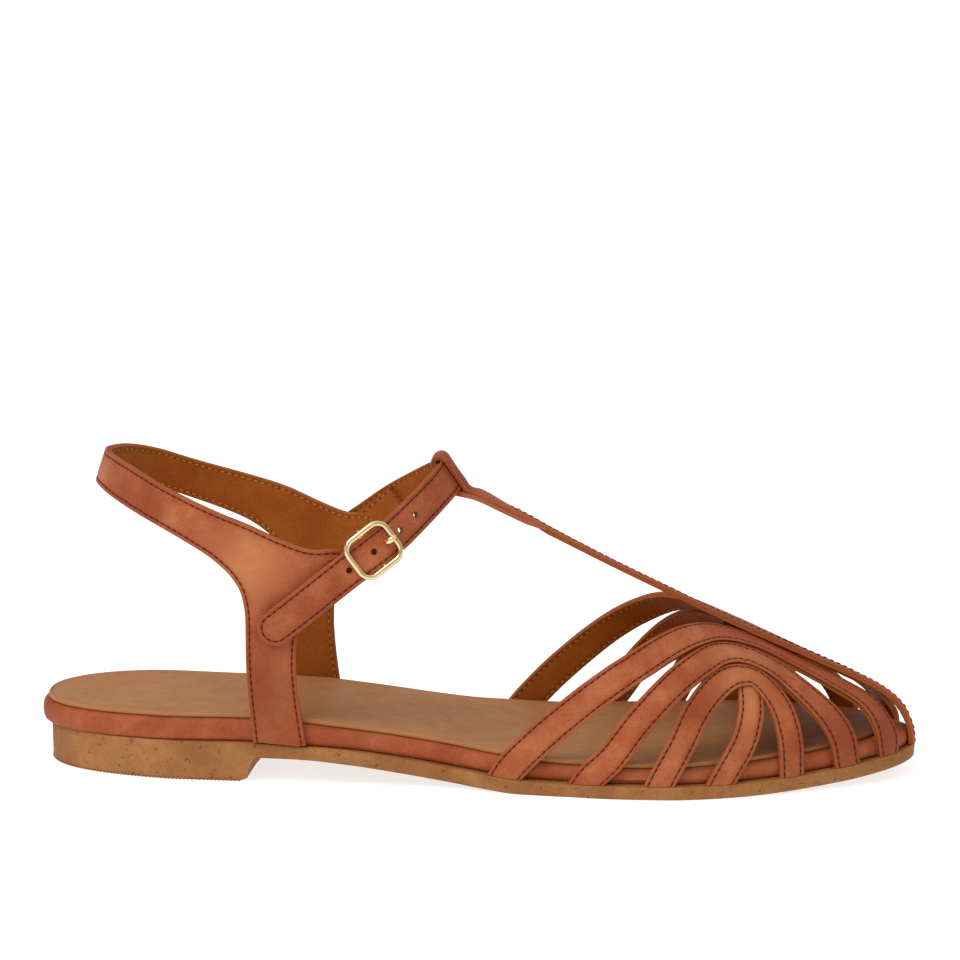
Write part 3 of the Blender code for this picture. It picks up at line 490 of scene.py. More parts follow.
def smooth(table, x, column):
    """Value of a table's column at x, along a curve that never overshoots its rows."""
    last = len(table) - 1
    if x <= table[0][0]:
        return table[0][column]
    if x >= table[last][0]:
        return table[last][column]
    row = max(i for i in range(last) if table[i][0] <= x)

    def slope(i):
        return (table[i + 1][column] - table[i][column]) / (table[i + 1][0] - table[i][0])

    def tangent(i):
        if i in (0, last):
            return slope(min(i, last - 1))
        before, after = slope(i - 1), slope(i)
        return 0.0 if before * after <= 0 else 2 * before * after / (before + after)

    step = table[row + 1][0] - table[row][0]
    t = (x - table[row][0]) / step
    return (
        table[row][column] * (2 * t**3 - 3 * t**2 + 1)
        + table[row + 1][column] * (3 * t**2 - 2 * t**3)
        + tangent(row) * step * (t**3 - 2 * t**2 + t)
        + tangent(row + 1) * step * (t**3 - t**2)
    )


def ease(t):
    """A soft step from 0 to 1 while t goes from 0 to 1."""
    t = min(1.0, max(0.0, t))
    return t * t * (3 - 2 * t)


def spline(rows, steps):
    """Points along a Catmull-Rom curve through the rows, steps of them between two rows."""
    rows = [Vector(row) for row in rows]
    ends = [2 * rows[0] - rows[1]] + rows + [2 * rows[-1] - rows[-2]]
    points = []
    for i in range(1, len(rows)):
        a, b, c, d = ends[i - 1 : i + 3]
        for k in range(steps):
            t = k / steps
            points.append(0.5 * (2 * b + (c - a) * t + (2 * a - 5 * b + 4 * c - d) * t**2
                                 + (3 * b - a - 3 * c + d) * t**3))
    points.append(rows[-1])
    return points


def lengths_along(line):
    """Distance from the start of a line to each of its points."""
    steps = np.linalg.norm(np.diff(line, axis=0), axis=1)
    return np.concatenate(([0.0], np.cumsum(steps)))


def places_on(line, lengths, wanted):
    """Points of a line at the wanted distances along it."""
    return np.stack([np.interp(wanted, lengths, column) for column in line.T], axis=-1)


def even_points(line, count):
    """The same line with count points at even distances."""
    line = np.array(line, float)
    lengths = lengths_along(line)
    return places_on(line, lengths, np.linspace(0, lengths[-1], count))


def directions(line):
    """Direction of a line at each of its points."""
    along = np.gradient(line, axis=0)
    return along / np.linalg.norm(along, axis=1)[:, None]


print("half way along a quarter turn:", even_points([(0, 0), (1, 0), (1, 1)], 3)[1])

# %% [markdown]
# ## The sole's outline
#
# A sole is cut to a plan. The plan here is the middle of the width and half the width along the shoe,
# rounded off at heel and toe. Heights along the shoe give the heel block, the hollow waist, the flat
# tread at the ball and the spring of the toe.

# %% Describe the sole
HEEL_END = -127.4
TOE_END = 129.0
GAP = 0.3
# Columns: x, middle, half
PLAN = [
    (-127.0, 1.5, 29.9), (-105.0, 0.8, 29.9), (-85.0, -1.5, 29.9), (-65.0, -2.8, 29.6),
    (-45.0, -4.0, 30.9), (-20.0, -4.0, 31.2), (-6.0, -3.4, 32.6), (5.0, -2.6, 36.4),
    (15.0, -2.4, 39.2), (30.0, -1.6, 42.0), (45.0, -0.6, 44.6), (60.0, 0.4, 45.3),
    (80.0, 2.4, 45.3), (100.0, 3.2, 45.3), (115.0, 1.5, 45.3), (129.0, -2.5, 45.3),
]
HEEL_ROUND_START = -85.0
HEEL_ROUNDNESS = 2.2
TOE_ROUND_START = 60.0
TOE_ROUNDNESS = 1.65
BREAST_X = -64.5
# Columns: x, under (bottom of the rubber), top (top of the rubber), bed (top of the footbed)
HEIGHTS = [
    (-127.4, 7.0, 11.6, 18.0), (-64.0, 7.0, 11.6, 18.2), (-50.0, 7.2, 11.3, 17.7),
    (-35.0, 6.0, 10.4, 16.2), (-18.0, 3.7, 8.4, 14.1), (-5.0, 1.8, 6.4, 12.2),
    (5.0, 0.7, 5.2, 10.8), (15.0, 0.0, 4.4, 9.7), (30.0, 0.0, 4.0, 8.7),
    (50.0, 0.0, 4.0, 8.4), (75.0, 0.0, 4.1, 9.1), (86.0, 0.3, 4.5, 9.8),
    (98.0, 1.0, 5.2, 10.6), (110.0, 2.0, 6.3, 11.7), (121.0, 3.4, 7.8, 13.1), (129.0, 4.8, 9.2, 14.2),
]
# How far the footbed's rim stands in from the sole's edge. Columns: x, inset
RIM_INSETS = [
    (-127.0, -2.5), (-105.0, -0.7), (-80.0, 0.5), (-68.0, 1.0), (-46.0, 1.2), (-5.0, 2.0),
    (10.0, 2.6), (112.0, 2.6), (129.0, 1.2),
]
# How far the insole stands in from the rim. Columns: x, inset
SOCK_INSETS = [(-127.0, 1.6), (100.0, 1.6), (116.0, 2.6), (129.0, 7.5)]
SOCK_THICKNESS = 1.2


def middle(x):
    return smooth(PLAN, x, 1)


def half_width(x):
    width = smooth(PLAN, x, 2)
    if x < HEEL_ROUND_START:
        reach = min(1.0, (HEEL_ROUND_START - x) / (HEEL_ROUND_START - HEEL_END))
        width *= (1 - reach**HEEL_ROUNDNESS) ** (1 / HEEL_ROUNDNESS)
    if x > TOE_ROUND_START:
        reach = min(1.0, (x - TOE_ROUND_START) / (TOE_END - TOE_ROUND_START))
        width *= (1 - reach**TOE_ROUNDNESS) ** (1 / TOE_ROUNDNESS)
    return width


def stations():
    """x of the plan's points from heel to toe, close together where the outline turns."""
    heel_steps, toe_steps, body_step = 20, 30, 3.0
    heel = [HEEL_ROUND_START + (HEEL_END - HEEL_ROUND_START) * math.sin(math.pi / 2 * i / heel_steps)
            for i in range(heel_steps - 1, 0, -1)]
    before = list(np.arange(HEEL_ROUND_START, BREAST_X - 0.5, body_step))
    breast = [BREAST_X, BREAST_X + 0.2, BREAST_X + 0.6, BREAST_X + 1.2, BREAST_X + 2.2, BREAST_X + 3.3]
    after = list(np.arange(BREAST_X + 5.5, TOE_ROUND_START - 1.0, body_step))
    toe = [TOE_ROUND_START + (TOE_END - TOE_ROUND_START) * math.sin(math.pi / 2 * i / toe_steps)
           for i in range(toe_steps)]
    return heel + before + breast + after + toe


STATIONS = stations()


def plan_outline():
    outline = [(HEEL_END, middle(HEEL_END))]
    outline += [(x, middle(x) - half_width(x)) for x in STATIONS]
    outline += [(TOE_END, middle(TOE_END))]
    outline += [(x, middle(x) + half_width(x)) for x in reversed(STATIONS)]
    return np.array(outline)


OUTLINE = plan_outline()


def ring(inset, height):
    """The outline moved in by inset(x), at height(x)."""
    along = np.roll(OUTLINE, -1, axis=0) - np.roll(OUTLINE, 1, axis=0)
    along /= np.linalg.norm(along, axis=1)[:, None]
    inward = np.stack([-along[:, 1], along[:, 0]], axis=1)
    flat = OUTLINE + inward * np.array([inset(x) for x in OUTLINE[:, 0]])[:, None]
    return np.array([(x, y, height(x)) for x, y in flat])


def drawn_in(outer, share, height):
    """A ring drawn in towards the shoe's middle line, to a share of its width."""
    opposite = outer[(-np.arange(len(outer))) % len(outer)]
    spine = (outer + opposite) / 2
    points = spine + (outer - spine) * share
    points[:, 2] = [height(x) for x in points[:, 0]]
    return points


def sole_top(x):
    return smooth(HEIGHTS, x, 2)


def sole_under(x):
    """Underside: flat under the heel block, a short hollow breast, then the waist."""
    if x <= BREAST_X + 0.01:
        return 0.0
    rise = min(1.0, (x - BREAST_X) / 3.3)
    return smooth(HEIGHTS, x, 1) * (1 - (1 - rise) ** 2) ** 0.5


def bed_top(x):
    return smooth(HEIGHTS, x, 3)


def rim_inset(x):
    return smooth(RIM_INSETS, x, 1)


print("points round the sole:", len(OUTLINE), "length in mm:", TOE_END - HEEL_END)

# %% [markdown]
# ## From rings to a solid
#
# A form like a sole is drawn as a maker would: an outline, pulled up step by step. The first ring is a
# circle primitive whose points are laid on the outline. Each further ring is one extrusion of its
# edges. The first and the last ring fold onto the middle line, and merging them closes the form.

# %% Extrude rings


def new_piece(name):
    """The form that was just added, as a piece with a name."""
    piece = bpy.context.object
    piece.name = piece.data.name = name
    return piece


def turn_outward():
    """Turns every face of the active piece outward."""
    bpy.ops.object.mode_set(mode="EDIT")
    bpy.ops.mesh.select_all(action="SELECT")
    bpy.ops.mesh.normals_make_consistent(inside=False)
    bpy.ops.object.mode_set(mode="OBJECT")


def soften(piece, width, segments, degrees, clamp=True):
    """Rounds the edges of the active piece that are sharper than an angle."""
    change = piece.modifiers.new("soft", "BEVEL")
    change.width = width
    change.segments = segments
    change.angle_limit = math.radians(degrees)
    change.use_clamp_overlap = clamp
    bpy.ops.object.modifier_apply(modifier=change.name)


def cut_out(piece, tool):
    """Cuts the form of a tool out of a piece."""
    bpy.context.view_layer.objects.active = piece
    cut = piece.modifiers.new("cut", "BOOLEAN")
    cut.object = tool
    cut.operation = "DIFFERENCE"
    cut.solver = "EXACT"
    bpy.ops.object.modifier_apply(modifier=cut.name)


def lofted(name, rings):
    """A closed form through rings of points in millimetres, lowest first."""
    count = len(rings[0])
    bpy.ops.object.select_all(action="DESELECT")
    bpy.ops.mesh.primitive_circle_add(vertices=count, radius=0.05, fill_type="NOTHING")
    piece = new_piece(name)
    for vertex, point in zip(piece.data.vertices, rings[0]):
        vertex.co = Vector(point) * MM
    place_of = {i: i for i in range(count)}
    bpy.ops.object.mode_set(mode="EDIT")
    bpy.ops.mesh.select_mode(type="EDGE")
    bpy.ops.mesh.select_all(action="SELECT")
    for points in rings[1:]:
        bpy.ops.mesh.extrude_edges_move()
        body = bmesh.from_edit_mesh(piece.data)
        body.verts.index_update()
        moved = {}
        for vertex in body.verts:
            if vertex.select:
                below = [e.other_vert(vertex).index for e in vertex.link_edges
                         if not e.other_vert(vertex).select]
                moved[vertex.index] = place_of[below[0]]
        body.verts.ensure_lookup_table()
        for index, place in moved.items():
            body.verts[index].co = Vector(points[place]) * MM
        place_of = moved
        bmesh.update_edit_mesh(piece.data)
    bpy.ops.mesh.select_all(action="SELECT")
    bpy.ops.mesh.remove_doubles(threshold=0.000004)
    bpy.ops.mesh.normals_make_consistent(inside=False)
    bpy.ops.object.mode_set(mode="OBJECT")
    return piece


def finished(piece, material, smooth_degrees=35):
    """Shades a piece smooth up to an angle and gives it its material."""
    bpy.ops.object.select_all(action="DESELECT")
    piece.select_set(True)
    bpy.context.view_layer.objects.active = piece
    bpy.ops.object.shade_smooth_by_angle(angle=math.radians(smooth_degrees))
    piece.data.materials.clear()
    piece.data.materials.append(material)
    print(piece.name, "faces:", len(piece.data.polygons))
    return piece


def make_sole():
    """The rubber sole. Its lower edge is cut back under the heel, to make room for the ribs."""
    def inset(distance):
        return lambda x: distance

    def above_ground(at_heel, elsewhere):
        return lambda x: sole_under(x) + (at_heel if x <= BREAST_X else elsewhere)

    def side(share):
        return lambda x: sole_under(x) + share * (sole_top(x) - sole_under(x))

    def below_top(depth):
        return lambda x: sole_top(x) - depth

    bottom = ring(inset(0.9), sole_under)
    top = ring(inset(0.7), sole_top)
    rings = [drawn_in(bottom, share, sole_under) for share in (0.0, 0.35, 0.7, 0.93)]
    rings += [
        bottom,
        ring(inset(0.45), above_ground(0.5, 0.12)),
        ring(inset(0.2), above_ground(0.8, 0.45)),
        ring(inset(0.12), side(0.3)),
        ring(inset(0.02), side(0.6)),
        ring(inset(0.0), below_top(0.55)),
        ring(inset(0.15), below_top(0.15)),
        top,
    ]
    rings += [drawn_in(top, share, sole_top) for share in (0.93, 0.6, 0.0)]
    return finished(lofted("outsole_rubber", rings), RUBBER)


SOLE = make_sole()

# %% [markdown]
# ## The heel's ribbed edge
#
# The lower edge of the heel block is finely ribbed, so that it doesn't slip. One rib is a small bevelled
# block. It is copied along the outline, all copies in one mesh.

# %% Rib the heel's edge
RIB_PITCH = 1.15
RIB_SIZE = np.array((0.62, 0.8, 0.84))     # along the edge, in from it, and up, in mm


def unit_shape(kind):
    """One small shape, 1 mm in size, as points and faces to copy many times."""
    bpy.ops.object.select_all(action="DESELECT")
    if kind == "rib":
        bpy.ops.mesh.primitive_cube_add(size=1)
        bpy.ops.object.mode_set(mode="EDIT")
        bpy.ops.mesh.select_all(action="SELECT")
        bpy.ops.mesh.bevel(offset=0.18, segments=1)
        bpy.ops.object.mode_set(mode="OBJECT")
    else:
        bpy.ops.mesh.primitive_uv_sphere_add(segments=6, ring_count=5, radius=0.5)
    shape = bpy.context.object
    points = np.array([v.co for v in shape.data.vertices])
    faces = [tuple(face.vertices) for face in shape.data.polygons]
    bpy.data.objects.remove(shape)
    return points, faces


def copies(name, shape, centres, axes, size, material):
    """Many copies of a small shape in one mesh. Each has its centre and its three directions."""
    points, faces = shape
    count = len(points)
    all_points = np.concatenate([centre + (points * size) @ turn for centre, turn in zip(centres, axes)])
    all_faces = [tuple(v + k * count for v in face) for k in range(len(centres)) for face in faces]
    mesh = bpy.data.meshes.new(name)
    mesh.from_pydata(all_points * MM, [], all_faces)
    piece = bpy.data.objects.new(name, mesh)
    bpy.context.collection.objects.link(piece)
    return finished(piece, material, 60)


RIB_SHAPE = unit_shape("rib")
STITCH_SHAPE = unit_shape("stitch")


def make_ribs():
    outline = ring(lambda x: 0.42, lambda x: 0.43)
    heel_outer = [p for p in outline[: len(outline) // 2] if p[0] <= BREAST_X]
    heel_inner = [p for p in outline[len(outline) // 2 :] if p[0] <= BREAST_X]
    edge = np.array(heel_inner + heel_outer)
    edge = even_points(edge, int(lengths_along(edge)[-1] / RIB_PITCH))
    up = np.array((0.0, 0.0, 1.0))
    axes = [np.stack([along, np.cross(up, along), up]) for along in directions(edge)]
    return copies("heel_ribs", RIB_SHAPE, edge, axes, RIB_SIZE, RUBBER)


RIBS = make_ribs()

# %% [markdown]
# ## Footbed and insole
#
# The footbed's rim is wrapped in the strap leather, so it is soft and round and a little wavy. The
# insole is a thin leather sheet glued on top. Its cut edge stands free all round and draws a thin
# dark line.

# %% Wrap the footbed and lay the insole
RIM_ROUNDING = 2.0
INSOLE_DISH = 0.45         # how deep the foot has pressed into the insole, in mm


def make_rim():
    """The platform, as one closed form with a soft upper edge."""
    def rim(depth):
        return lambda x: rim_inset(x) + depth

    def floor_of(x):
        return sole_top(x) + 0.05

    def from_top(depth):
        return lambda x: bed_top(x) - depth

    bottom = ring(rim(1.0), floor_of)
    top = ring(rim(RIM_ROUNDING + 0.6), from_top(0.0))
    rings = [drawn_in(bottom, share, floor_of) for share in (0.0, 0.7)]
    rings += [
        bottom,
        ring(rim(0.35), lambda x: floor_of(x) + 0.45),
        ring(rim(0.02), lambda x: floor_of(x) + 1.3),
        ring(rim(-0.12), from_top(3.0)),
        ring(rim(0.0), from_top(1.9)),
    ]
    for degrees in (30, 55, 75):
        turn = math.radians(degrees)
        depth = RIM_ROUNDING * (1 - math.cos(turn))
        rings.append(ring(rim(depth), from_top(RIM_ROUNDING * (1 - math.sin(turn)))))
    rings.append(top)
    rings += [drawn_in(top, share, bed_top) for share in (0.9, 0.5, 0.0)]
    return finished(lofted("footbed_rim", rings), RIM_LEATHER, 60)


def make_insole():
    """The leather sheet on the platform. Its edge stands free, and its middle is pressed in."""
    def edge(depth):
        return lambda x: rim_inset(x) + smooth(SOCK_INSETS, x, 1) + depth

    def level(height):
        return lambda x: bed_top(x) + height

    top_height = GAP + SOCK_THICKNESS
    bottom = ring(edge(0.35), level(0.06))
    top = ring(edge(0.5), level(top_height))
    rings = [drawn_in(bottom, share, level(0.06)) for share in (0.0, 0.6)]
    rings += [
        bottom,
        ring(edge(0.0), level(0.42)),
        ring(edge(0.0), level(top_height - 0.35)),
        ring(edge(0.16), level(top_height - 0.08)),
        top,
    ]
    for share in (0.95, 0.8, 0.55, 0.3, 0.0):
        dish = INSOLE_DISH * (1 - share**2)
        rings.append(drawn_in(top, share, level(top_height - dish)))
    return finished(lofted("insole_sock", rings), INSOLE_LEATHER, 60)


RIM = make_rim()
INSOLE = make_insole()

# %% [markdown]
# ## The last
#
# A shoe is built round a wooden foot, the last. The straps of the cage lie on it, so it is described
# first: a ridge line over the toes, and full round flanks down to the sole. A place on the last is a
# distance along the shoe and a share of the way from the sole over the ridge to the other side.

# %% Describe the last
STRAP_THICKNESS = 1.9
# Columns: x, ridge
RIDGE = [
    (-10.0, 74.7), (20.0, 64.5), (40.0, 56.3), (60.0, 47.5), (77.0, 40.3), (92.0, 33.5),
    (106.0, 27.1), (116.0, 22.2), (122.0, 17.4), (126.0, 13.8), (128.8, 10.0),
]
LAST_FULLNESS = 2.3
STRAP_TO_SOLE_EDGE = 0.3
T_BAR_Y = (-0.5, -2.5)


def t_bar_y(x):
    start, end = T_BAR_Y
    return start + (end - start) * min(1.0, max(0.0, x / TOE_END))


def last_point(x, share):
    """Point on the last at x, at a share of the girth."""
    turn = math.pi * share
    base = sole_top(x)
    ridge = smooth(RIDGE, x, 1)
    ridge_y = t_bar_y(x)
    side = -1 if share < 0.5 else 1
    foot_y = middle(x) + side * (half_width(x) - STRAP_TO_SOLE_EDGE)
    over, up = abs(math.cos(turn)), math.sin(turn)
    reach = (over**LAST_FULLNESS + abs(up) ** LAST_FULLNESS) ** (-1 / LAST_FULLNESS)
    return Vector((x, ridge_y + (foot_y - ridge_y) * over * reach, base + (ridge - base) * up * reach))


def last_frame(x, share):
    """Point on the last, the directions in which x and the share grow, and the outward normal."""
    step_x, step_share = 0.25, 0.002
    by_x = (last_point(x + step_x, share) - last_point(x - step_x, share)) / (2 * step_x)
    by_share = (last_point(x, share + step_share) - last_point(x, share - step_share)) / (2 * step_share)
    return last_point(x, share), by_x, by_share, by_x.cross(by_share).normalized()


print("top of the last at x 60:", [round(v, 1) for v in last_point(60, 0.5)])

# %% [markdown]
# ## A strap's own form
#
# Every strap is cut from leather, so its section is always the same. The cut edge is worn round. A row
# of stitches runs close to it and pulls a groove, and the strip outside swells a little, like a welt.
# The section is a table, and each strap is a grid of points whose columns stand where it changes.

# %% Shape a strap
LEATHER_THICKNESS = 1.15
EDGE_COLUMNS = (0.0, 0.25, 0.6, 0.95, 1.25, 1.6, 2.3)
# Columns: distance from the cut edge, height over the strap's face
SECTION = [
    (0.0, -0.18), (0.25, -0.02), (0.6, 0.04), (0.95, -0.01), (1.25, -0.17), (1.6, -0.02), (2.3, 0.05),
    (5.0, 0.1),
]
LINING_SWELL = 0.7         # the lining's section, as a share of the leather's
LINING_TRIM = 0.14         # how far the lining's cut edge stands in, in mm
LAYER_GAP = 0.02           # between leather and lining, in mm
CREASE_ENDS = 0.2          # share of the width over which a crease fades out
CREASE_FREE_EDGE = 0.8     # mm beside the cut edge where creases fade out


def near_columns(trim):
    """Distances from the cut edge to the columns beside it. A trimmed sheet starts further in."""
    return [max(trim, distance) for distance in EDGE_COLUMNS]


def section_heights(edges, share=1.0):
    """Height of the section over a strap's face, at distances from the cut edge."""
    distances, heights = zip(*SECTION)
    return np.interp(edges, distances, heights) * share


def columns_across(rows, trim=0.0):
    """Rows of points across a strap, set again where its section changes, and each point's distance
    from the cut edge."""
    points, edges = [], []
    for row in rows:
        row = np.array(row, float)
        lengths = lengths_along(row)
        width = lengths[-1]
        inner = width - 2 * EDGE_COLUMNS[-1]
        near = near_columns(trim)
        wanted = near + [EDGE_COLUMNS[-1] + inner * share for share in (0.25, 0.5, 0.75)]
        wanted += [width - distance for distance in reversed(near)]
        points.append(places_on(row, lengths, wanted))
        edges.append([min(distance, width - distance) for distance in wanted])
    return np.array(points), np.array(edges)


def outward_normals(points, inside):
    """Normals of a grid of points, turned away from a place inside the shoe."""
    normals = np.cross(np.gradient(points, axis=1), np.gradient(points, axis=0))
    normals /= np.linalg.norm(normals, axis=2)[:, :, None] + 1e-12
    i, j = points.shape[0] // 2, points.shape[1] // 2
    if np.dot(normals[i, j], points[i, j] - np.array(inside)) < 0:
        normals = -normals
    return normals


def crease_heights(points, edges, creases):
    """Soft troughs and ridges. Each has its place along in mm, its slant, width and height in mm, and
    the part of the strap's width that it crosses."""
    rows, across = edges.shape
    along = lengths_along(points[:, across // 2])[:, None]
    share = np.linspace(0, 1, across)[None, :]
    heights = np.zeros((rows, across))
    for place, slant, width, height, low, high in creases:
        off = (along - place - slant * (share - 0.5)) / width
        window = np.clip((share - low) / CREASE_ENDS, 0, 1) * np.clip((high - share) / CREASE_ENDS, 0, 1)
        heights += height * np.exp(-off**2) * window
    return heights * np.clip(edges / CREASE_FREE_EDGE, 0, 1)


WORN_ROUNDING = 0.09       # of the cut edges, in mm
# Places painted lighter or darker: painted highlights where light falls on the lobe and the arches' tops,
# painted shade at the toe's front and the posts' feet, and some uneven dye. Columns: x, y, z, radius in
# mm, amount
LIGHT_SHADE_AND_DYE_SPOTS = [
    (-64.0, -35.0, 63.0, 13.0, 0.8), (-58.0, -35.0, 24.0, 16.0, -0.75), (-62.0, -35.0, 44.0, 9.0, -0.25),
    (-105.0, -20.0, 80.0, 12.0, -0.6), (118.0, -20.0, 14.0, 16.0, -0.9), (105.0, -35.0, 12.0, 12.0, -0.4),
    (22.0, -36.0, 14.0, 8.0, 0.25), (-55.0, -36.0, 48.0, 7.0, -0.35), (80.0, -34.0, 28.0, 8.0, 0.9),
    (78.0, -26.0, 40.0, 9.0, 0.6), (70.0, -34.0, 26.0, 5.0, -0.3), (-118.0, 5.0, 84.0, 8.0, -0.35),
]


def light_and_dye_at(points):
    """How much painted highlight or shade, with some uneven dye, makes the leather lighter or darker at
    each point.
    """
    total = np.zeros(points.shape[:-1])
    for x, y, z, radius, amount in LIGHT_SHADE_AND_DYE_SPOTS:
        squares = ((points - np.array((x, y, z))) ** 2).sum(axis=-1)
        total += amount * np.exp(-squares / radius**2)
    return total


def carry(piece, name, values):
    """Gives a piece a number for each of its points."""
    piece.data.attributes.new(name, "FLOAT", "POINT").data.foreach_set("value", values)


def leather_sheet(name, visible, out, edges, thickness, material):
    """A sheet of leather from its visible face: a grid is laid on the points and thickened."""
    rows, across = edges.shape
    bpy.ops.object.select_all(action="DESELECT")
    bpy.ops.mesh.primitive_grid_add(x_subdivisions=across - 1, y_subdivisions=rows - 1, size=0.1)
    piece = new_piece(name)
    piece.data.vertices.foreach_set("co", (visible * MM).ravel())
    carry(piece, "edge", edges.ravel())
    carry(piece, "painted_light_and_dye", light_and_dye_at(visible).ravel())
    i, j = rows // 2, across // 2
    turn = np.cross(visible[i, j + 1] - visible[i, j - 1], visible[i + 1, j] - visible[i - 1, j])
    bpy.ops.object.mode_set(mode="EDIT")
    bpy.ops.mesh.select_all(action="SELECT")
    bpy.ops.mesh.remove_doubles(threshold=0.000002)
    if np.dot(turn, out[i, j]) < 0:
        bpy.ops.mesh.flip_normals()
    bpy.ops.object.mode_set(mode="OBJECT")
    wall = piece.modifiers.new("thickness", "SOLIDIFY")
    wall.thickness = thickness * MM
    wall.offset = -1
    bpy.ops.object.modifier_apply(modifier=wall.name)
    soften(piece, WORN_ROUNDING * MM, 2, 55, clamp=False)
    turn_outward()
    return finished(piece, material, 50)


PIECES = {"outsole": [SOLE, RIBS], "footbed": [RIM], "insole": [INSOLE]}
STITCH_PITCH = 2.1
# Length, width and height of one stitch, in mm
STITCH_SIZE = {"dark_thread": np.array((1.66, 0.56, 0.5)), "pale_thread": np.array((1.5, 0.44, 0.36))}


def stitches(name, lines, thread, lift=0.02):
    """Stitches along lines of points with their normals, in one mesh."""
    reach = 0.4
    centres, axes = [], []
    for line, normals in lines:
        lengths = lengths_along(line)
        count = int(lengths[-1] / STITCH_PITCH)
        for at in (np.arange(count) + 0.5) * lengths[-1] / count:
            here = places_on(line, lengths, at)
            normal = places_on(normals, lengths, at)
            along = places_on(line, lengths, at + reach) - places_on(line, lengths, at - reach)
            along /= np.linalg.norm(along)
            normal -= along * np.dot(normal, along)
            normal /= np.linalg.norm(normal)
            centres.append(here + normal * lift)
            axes.append(np.stack([along, np.cross(normal, along), normal]))
    return copies(name, STITCH_SHAPE, centres, axes, STITCH_SIZE[thread.name], thread)


STITCH_COLUMN = EDGE_COLUMNS.index(STITCH_IN)


def two_layers(names, outer_grid, back_grid, out, thickness, creases=(), base=0.0):
    """A strap's leather and lining, with both faces. Each grid is its points and their distances from
    the cut edge. The points lie base under the outer face."""
    points, edges = outer_grid
    heights = base + section_heights(edges) + crease_heights(points, edges, creases)
    face = points + out * heights[:, :, None]
    points, back_edges = back_grid
    depths = thickness - base + section_heights(back_edges, LINING_SWELL) - LAYER_GAP
    back = points - out * depths[:, :, None]
    lining_thickness = thickness - LEATHER_THICKNESS - LAYER_GAP
    sheets = [
        leather_sheet(names[0], face, out, edges, LEATHER_THICKNESS, STRAP_LEATHER),
        leather_sheet(names[1], back, -out, back_edges, lining_thickness, LINING_LEATHER),
    ]
    return sheets, face, back


def sewn(name, face, out, back, back_out, lift=0.02):
    """The dark stitches beside both edges of a strap's face, and the pale ones of its lining."""
    columns = (STITCH_COLUMN, -1 - STITCH_COLUMN)
    face_lines = [(face[:, c], out[:, c]) for c in columns]
    back_lines = [(back[:, c], back_out[:, c]) for c in columns]
    return [
        stitches(name + "_thread", face_lines, DARK_THREAD, lift),
        stitches(name + "_lining_thread", back_lines, PALE_THREAD),
    ]


def lined_strap(name, rows, inside, thickness, creases=()):
    """A strap of leather on its lining, from rows of points across its outer face, with both threads."""
    outer_grid = columns_across(rows)
    out = outward_normals(outer_grid[0], inside)
    sheets, face, back = two_layers((name, name + "_lining"), outer_grid,
                                    columns_across(rows, LINING_TRIM), out, thickness, creases)
    return sheets + sewn(name, face, out, back, -out)


print("columns across a strap:", 2 * len(EDGE_COLUMNS) + 3)

# %% [markdown]
# ## The cage
#
# Seven straps rise from the sole over the toes: three arches and a stub on each side, the inner side
# mirroring the outer. Each route is a row of places on the last. The larger arch lies over the smaller,
# so each layer is lifted a little once it has left the sole.

# %% Lay the straps of the cage
LAYER_STEP = 0.8
LAYER_FULL_AT = 0.22
# Columns: x, share
ARCH_A = [
    (6.0, -0.06), (11.6, 0.005), (20.5, 0.06), (31.5, 0.12), (42.3, 0.182), (50.6, 0.236),
    (57.0, 0.287), (63.5, 0.343), (69.5, 0.39), (76.0, 0.42), (84.0, 0.436), (92.0, 0.425),
    (100.0, 0.405), (107.0, 0.382), (112.0, 0.355), (115.5, 0.31), (118.0, 0.245), (120.0, 0.155),
    (121.5, 0.04), (121.7, -0.06),
]
ARCH_B = [
    (29.5, -0.06), (35.0, 0.003), (42.3, 0.051), (49.2, 0.115), (54.9, 0.166), (60.8, 0.221),
    (66.4, 0.273), (72.3, 0.328), (79.5, 0.356), (88.0, 0.344), (95.1, 0.298), (100.5, 0.25),
    (104.4, 0.203), (107.9, 0.125), (109.8, 0.0), (110.2, -0.06),
]
ARCH_C = [
    (52.5, -0.06), (56.2, 0.004), (62.0, 0.087), (65.8, 0.156), (69.9, 0.212), (74.2, 0.258),
    (78.3, 0.284), (82.5, 0.29), (87.0, 0.258), (90.8, 0.2), (93.2, 0.112), (93.8, 0.0), (93.9, -0.06),
]
STUB_D = [
    (70.0, -0.06), (73.5, 0.0), (79.5, 0.095), (81.6, 0.165), (81.8, 0.22), (80.8, 0.29),
    (79.3, 0.38), (78.5, 0.48),
]
INNER_SIDE_BACK = 3.3
INNER_SIDE_FADE = (75.0, 112.0)
INSIDE_CAGE = (75.0, 0.0, 5.0)


def side_shift(x):
    start, end = INNER_SIDE_FADE
    return INNER_SIDE_BACK * ease((end - x) / (end - start))


